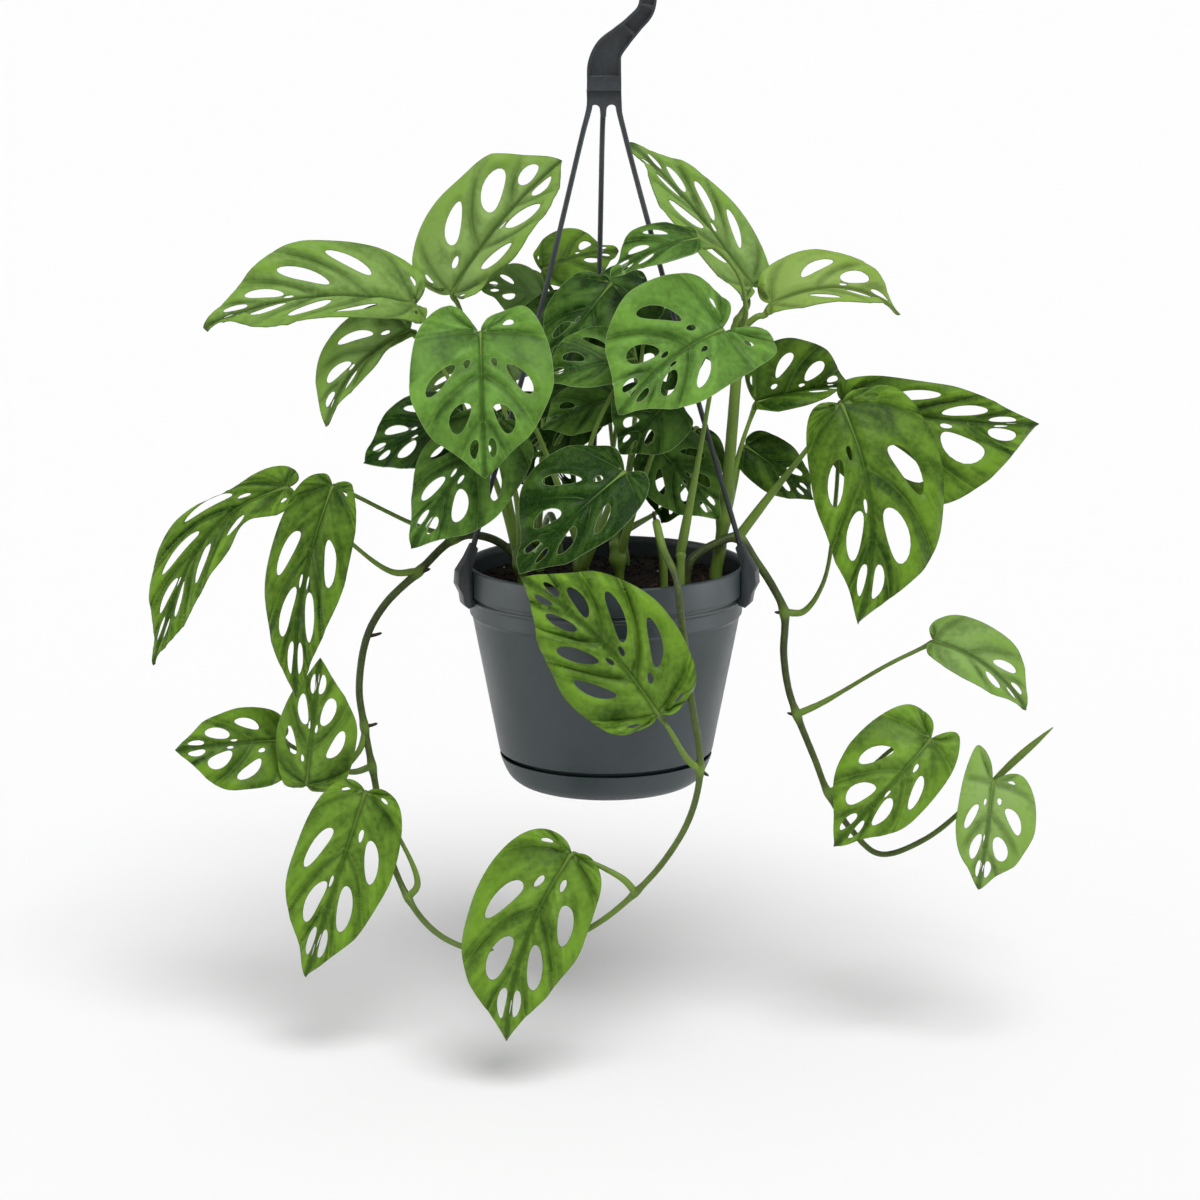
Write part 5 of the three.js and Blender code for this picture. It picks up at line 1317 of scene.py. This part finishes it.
strandShape = {
    "radius": 1.55, "sides": 18, "step": 3.0, "headSwell": 0.22, "headReach": 14, "clipSwell": 0.15,
    "clipReach": 5, "headHeights": (280, 271, 255),
    "inHead": ((-9.6, 0), (7.0, 0), (-1.6, 1.5)), "belowHead": ((-13.6, -4.2), (10.6, -2.9), (-2.2, 9)),
    "onWay": (44, 140), "atClip": (82.4, 14.5),
}


def armStations():
    # the arm's centre line from the head up to the hook's tip, as (x, z, width)
    wide, hook, bottom = hangerShape["headWidth"], hangerShape["hookWidth"], hangerShape["headBottom"]
    stations = [(-1.2, bottom, wide), (-1.2, bottom + 12, wide), (-1, 294, wide - 0.5),
                (1.6, 302.5, wide - 3.5), (8.5, 310, 13), (16, 317.5, hook + 0.6), (23.2, 326.5, hook)]
    middle = hangerShape["hookRadius"] + hook / 2
    for angle in range(-22, 207, 19):
        taper = max(0, (angle - 150) / 56)
        a = math.radians(angle)
        stations.append((middle * math.cos(a), middle * math.sin(a) - hangerShape["hookRadius"] + hookToRim,
                         hook - 3 * taper))
    return stations


def fineStations(stations, steps):
    p = np.array(stations, float)
    p = np.vstack([2 * p[0] - p[1], p, 2 * p[-1] - p[-2]])
    fine = []
    for i in range(1, len(p) - 2):
        for k in range(steps):
            t = k / steps
            fine.append(0.5 * (2 * p[i] + (p[i + 1] - p[i - 1]) * t
                               + (2 * p[i - 1] - 5 * p[i] + 4 * p[i + 1] - p[i + 2]) * t ** 2
                               + (3 * p[i] - p[i - 1] - 3 * p[i + 1] + p[i + 2]) * t ** 3))
    return np.array(fine + [p[-2]])


def strip(name, stations, inset, endInset, near, far):
    # a strip of the arm between two depths
    if endInset:
        stations = np.delete(stations, [1, -2], axis=0)  # too near the ends once those move in
    run = np.gradient(stations[:, :2], axis=0)
    run /= np.linalg.norm(run, axis=1)[:, None]
    half = stations[:, 2] / 2 - inset
    centre = stations[:, :2].copy()
    centre[0] += run[0] * endInset
    centre[-1] -= run[-1] * endInset
    across = np.stack([-run[:, 1], run[:, 0]], 1)
    ring = np.vstack([centre + across * half[:, None], (centre - across * half[:, None])[::-1]])
    return prism(name, *([(x, y, z) for x, z in ring] for y in (near, far)))


def soften(piece, width, angle=30):
    # rounds the edges that turn more than the angle
    modifier = piece.modifiers.new("soften", "BEVEL")
    modifier.width = width * 0.001
    modifier.segments = 2
    modifier.limit_method = "ANGLE"
    modifier.angle_limit = math.radians(angle)
    modifier.use_clamp_overlap = False
    return creased(settle(piece), softCrease)


def armPiece():
    depth, wall, steps = hangerShape["depth"], hangerShape["wall"], hangerShape["fineness"]
    stations = fineStations(armStations(), steps)
    arm = strip("arm", stations[round(0.6 * steps):], 0, 0, -depth / 2, depth / 2)
    pocket = (depth - wall) / 2
    for first, last in hangerShape["pockets"]:
        part = stations[round(first * steps):round(last * steps) + 1]
        cutOut(arm, strip("pocket", part, wall * 1.15, wall / 2, -depth / 2 - 1, -depth / 2 + pocket))
        cutOut(arm, strip("pocket", part, wall * 1.15, wall / 2, depth / 2 - pocket, depth / 2 + 1))
    return soften(arm, hangerShape["soften"])


def webPiece():
    # the head's lower end: a thin web with two arches between the strands
    firstFoot, *otherFeet = webShape["feet"]
    steps = webShape["archSteps"]
    shape = [(x, webShape["bottom"]) for x in firstFoot]
    for (centre, half), foot in zip(webShape["arches"], otherFeet):
        arch = circle(half, 2 * steps, 0)[:steps + 1]
        shape += [(x + centre, z + webShape["archHeight"]) for x, z, _ in arch]
        shape += [(x, webShape["bottom"]) for x in foot]
    shape += [(x, webShape["top"]) for x in webShape["corners"]]
    half = webShape["depth"] / 2
    return soften(prism("web", *([(x, y, z) for x, z in shape] for y in (-half, half))), webShape["soften"])


def clipPiece(angle):
    # a cap over the rim band with a lip under it, narrower towards its top
    turn = math.radians(angle - 90)
    ends = ([], [])
    for side, end in zip((-1, 1), ends):
        for radius, z in clipShape["section"]:
            rise = min(1, max(0, (z - clipShape["narrowFrom"]) / clipShape["narrowOver"]))
            y = side * clipShape["width"] / 2 * (1 - clipShape["narrowing"] * rise)
            end.append((radius * math.cos(turn) - y * math.sin(turn),
                        radius * math.sin(turn) + y * math.cos(turn), z))
    return soften(prism("clip", *ends), clipShape["soften"], 20)


def strandChain(angle, inHead, below):
    # from inside the head down to its clip
    a = math.radians(angle)
    top, neck, under = strandShape["headHeights"]
    outside = [(radius * math.sin(a), -radius * math.cos(a), z)
               for radius, z in (strandShape["onWay"], strandShape["atClip"])]
    path, travel = smoothPath([(*inHead, top), (*inHead, neck), (*below, under), *outside],
                              strandShape["step"])
    left = travel[-1] - travel
    swell = (strandShape["headSwell"] * np.exp(-(travel / strandShape["headReach"]) ** 2)
             + strandShape["clipSwell"] * np.exp(-(left / strandShape["clipReach"]) ** 2))
    return path, strandShape["radius"] * (1 + swell), 0, 0


hangerParts = [armPiece(), webPiece()]
hangerParts += [clipPiece(angle) for angle in clipShape["angles"]]
strands = [strandChain(*row) for row in zip(clipShape["angles"], strandShape["inHead"],
                                            strandShape["belowHead"])]
hangerParts.append(tubePiece("strands", strands, strandShape["sides"], 0.0, hangerPlastic))
hanger = combine("hanger_frame", hangerParts)
hanger.data.materials.clear()
hanger.data.materials.append(hangerPlastic)
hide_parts("hanger")
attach(hanger, "root")
print("hanger made")


# room: camera, light and a pale floor
room = {
    "floor": -0.67, "lens": 102.0, "eye": (-0.0036, -1.9954, 0.0265), "aim": (-0.0036, 0.0, -0.3976),
    "floorHalf": 30.0, "sun": 2.1, "sunWidth": 34, "sunFrom": (0.14, -0.52, 0.86), "side": 5.2,
    "panelPlace": (1.0, -0.1, -0.35), "panelSize": (0.6, 1.2), "panelAim": (0, 0, -0.5),
    "sky": (0.26, 0.58),  # brightness at the horizon and overhead
}

camera = bpy.data.objects.new("camera", bpy.data.cameras.new("camera"))
camera.data.lens = room["lens"]
camera.data.sensor_width = 36
camera.data.sensor_fit = "HORIZONTAL"
camera.location = room["eye"]
camera.rotation_euler = (Vector(room["aim"]) - Vector(room["eye"])).to_track_quat("-Z", "Y").to_euler()
bpy.context.scene.collection.objects.link(camera)
bpy.context.scene.camera = camera


def newLight(name, kind, place, aim):
    made = bpy.data.objects.new(name, bpy.data.lights.new(name, kind))
    made.location = place
    made.rotation_euler = (Vector(aim) - Vector(place)).to_track_quat("-Z", "Y").to_euler()
    bpy.context.scene.collection.objects.link(made)
    return made


sun = newLight("sun", "SUN", room["sunFrom"], (0, 0, 0)).data
sun.energy = room["sun"]
sun.angle = math.radians(room["sunWidth"])
for side in (-1, 1):
    # tall panels that only show as reflections
    x, y, z = room["panelPlace"]
    panel = newLight("sidePanel", "AREA", (side * x, y, z), room["panelAim"])
    panel.visible_diffuse = False
    panel.data.shape = "RECTANGLE"
    panel.data.size, panel.data.size_y = room["panelSize"]
    panel.data.energy = room["side"]
sky = bpy.data.worlds.new("sky")
sky.use_nodes = True
skyPaint = sky.node_tree.nodes["Background"]
skyPaint.inputs[0].default_value = (1, 1, 1, 1)
seen = put(sky.node_tree, "ShaderNodeLightPath").outputs["Is Camera Ray"]
height = put(sky.node_tree, "ShaderNodeSeparateXYZ",
             {0: put(sky.node_tree, "ShaderNodeTexCoord").outputs["Generated"]}).outputs[2]
glow = ramp(sky.node_tree, height, 0, 1, *room["sky"], soft=False)
glow = put(sky.node_tree, "ShaderNodeMix", {0: seen, 2: glow, 3: 1.0}).outputs[0]  # white where it is seen
sky.node_tree.links.new(glow, skyPaint.inputs[1])
bpy.context.scene.world = sky
bpy.context.scene.view_settings.view_transform = "Standard"

floorPaint = newMaterial("floorPaint", 0.85, **{"Specular IOR Level": 0.0,
                                                "Base Color": (0.95, 0.95, 0.95, 1)})[0]
corners = [(x * room["floorHalf"], y * room["floorHalf"], room["floor"])
           for x, y in ((-1, -1), (1, -1), (1, 1), (-1, 1))]
newPiece("floor", corners, [(0, 1, 2, 3)], material=floorPaint)
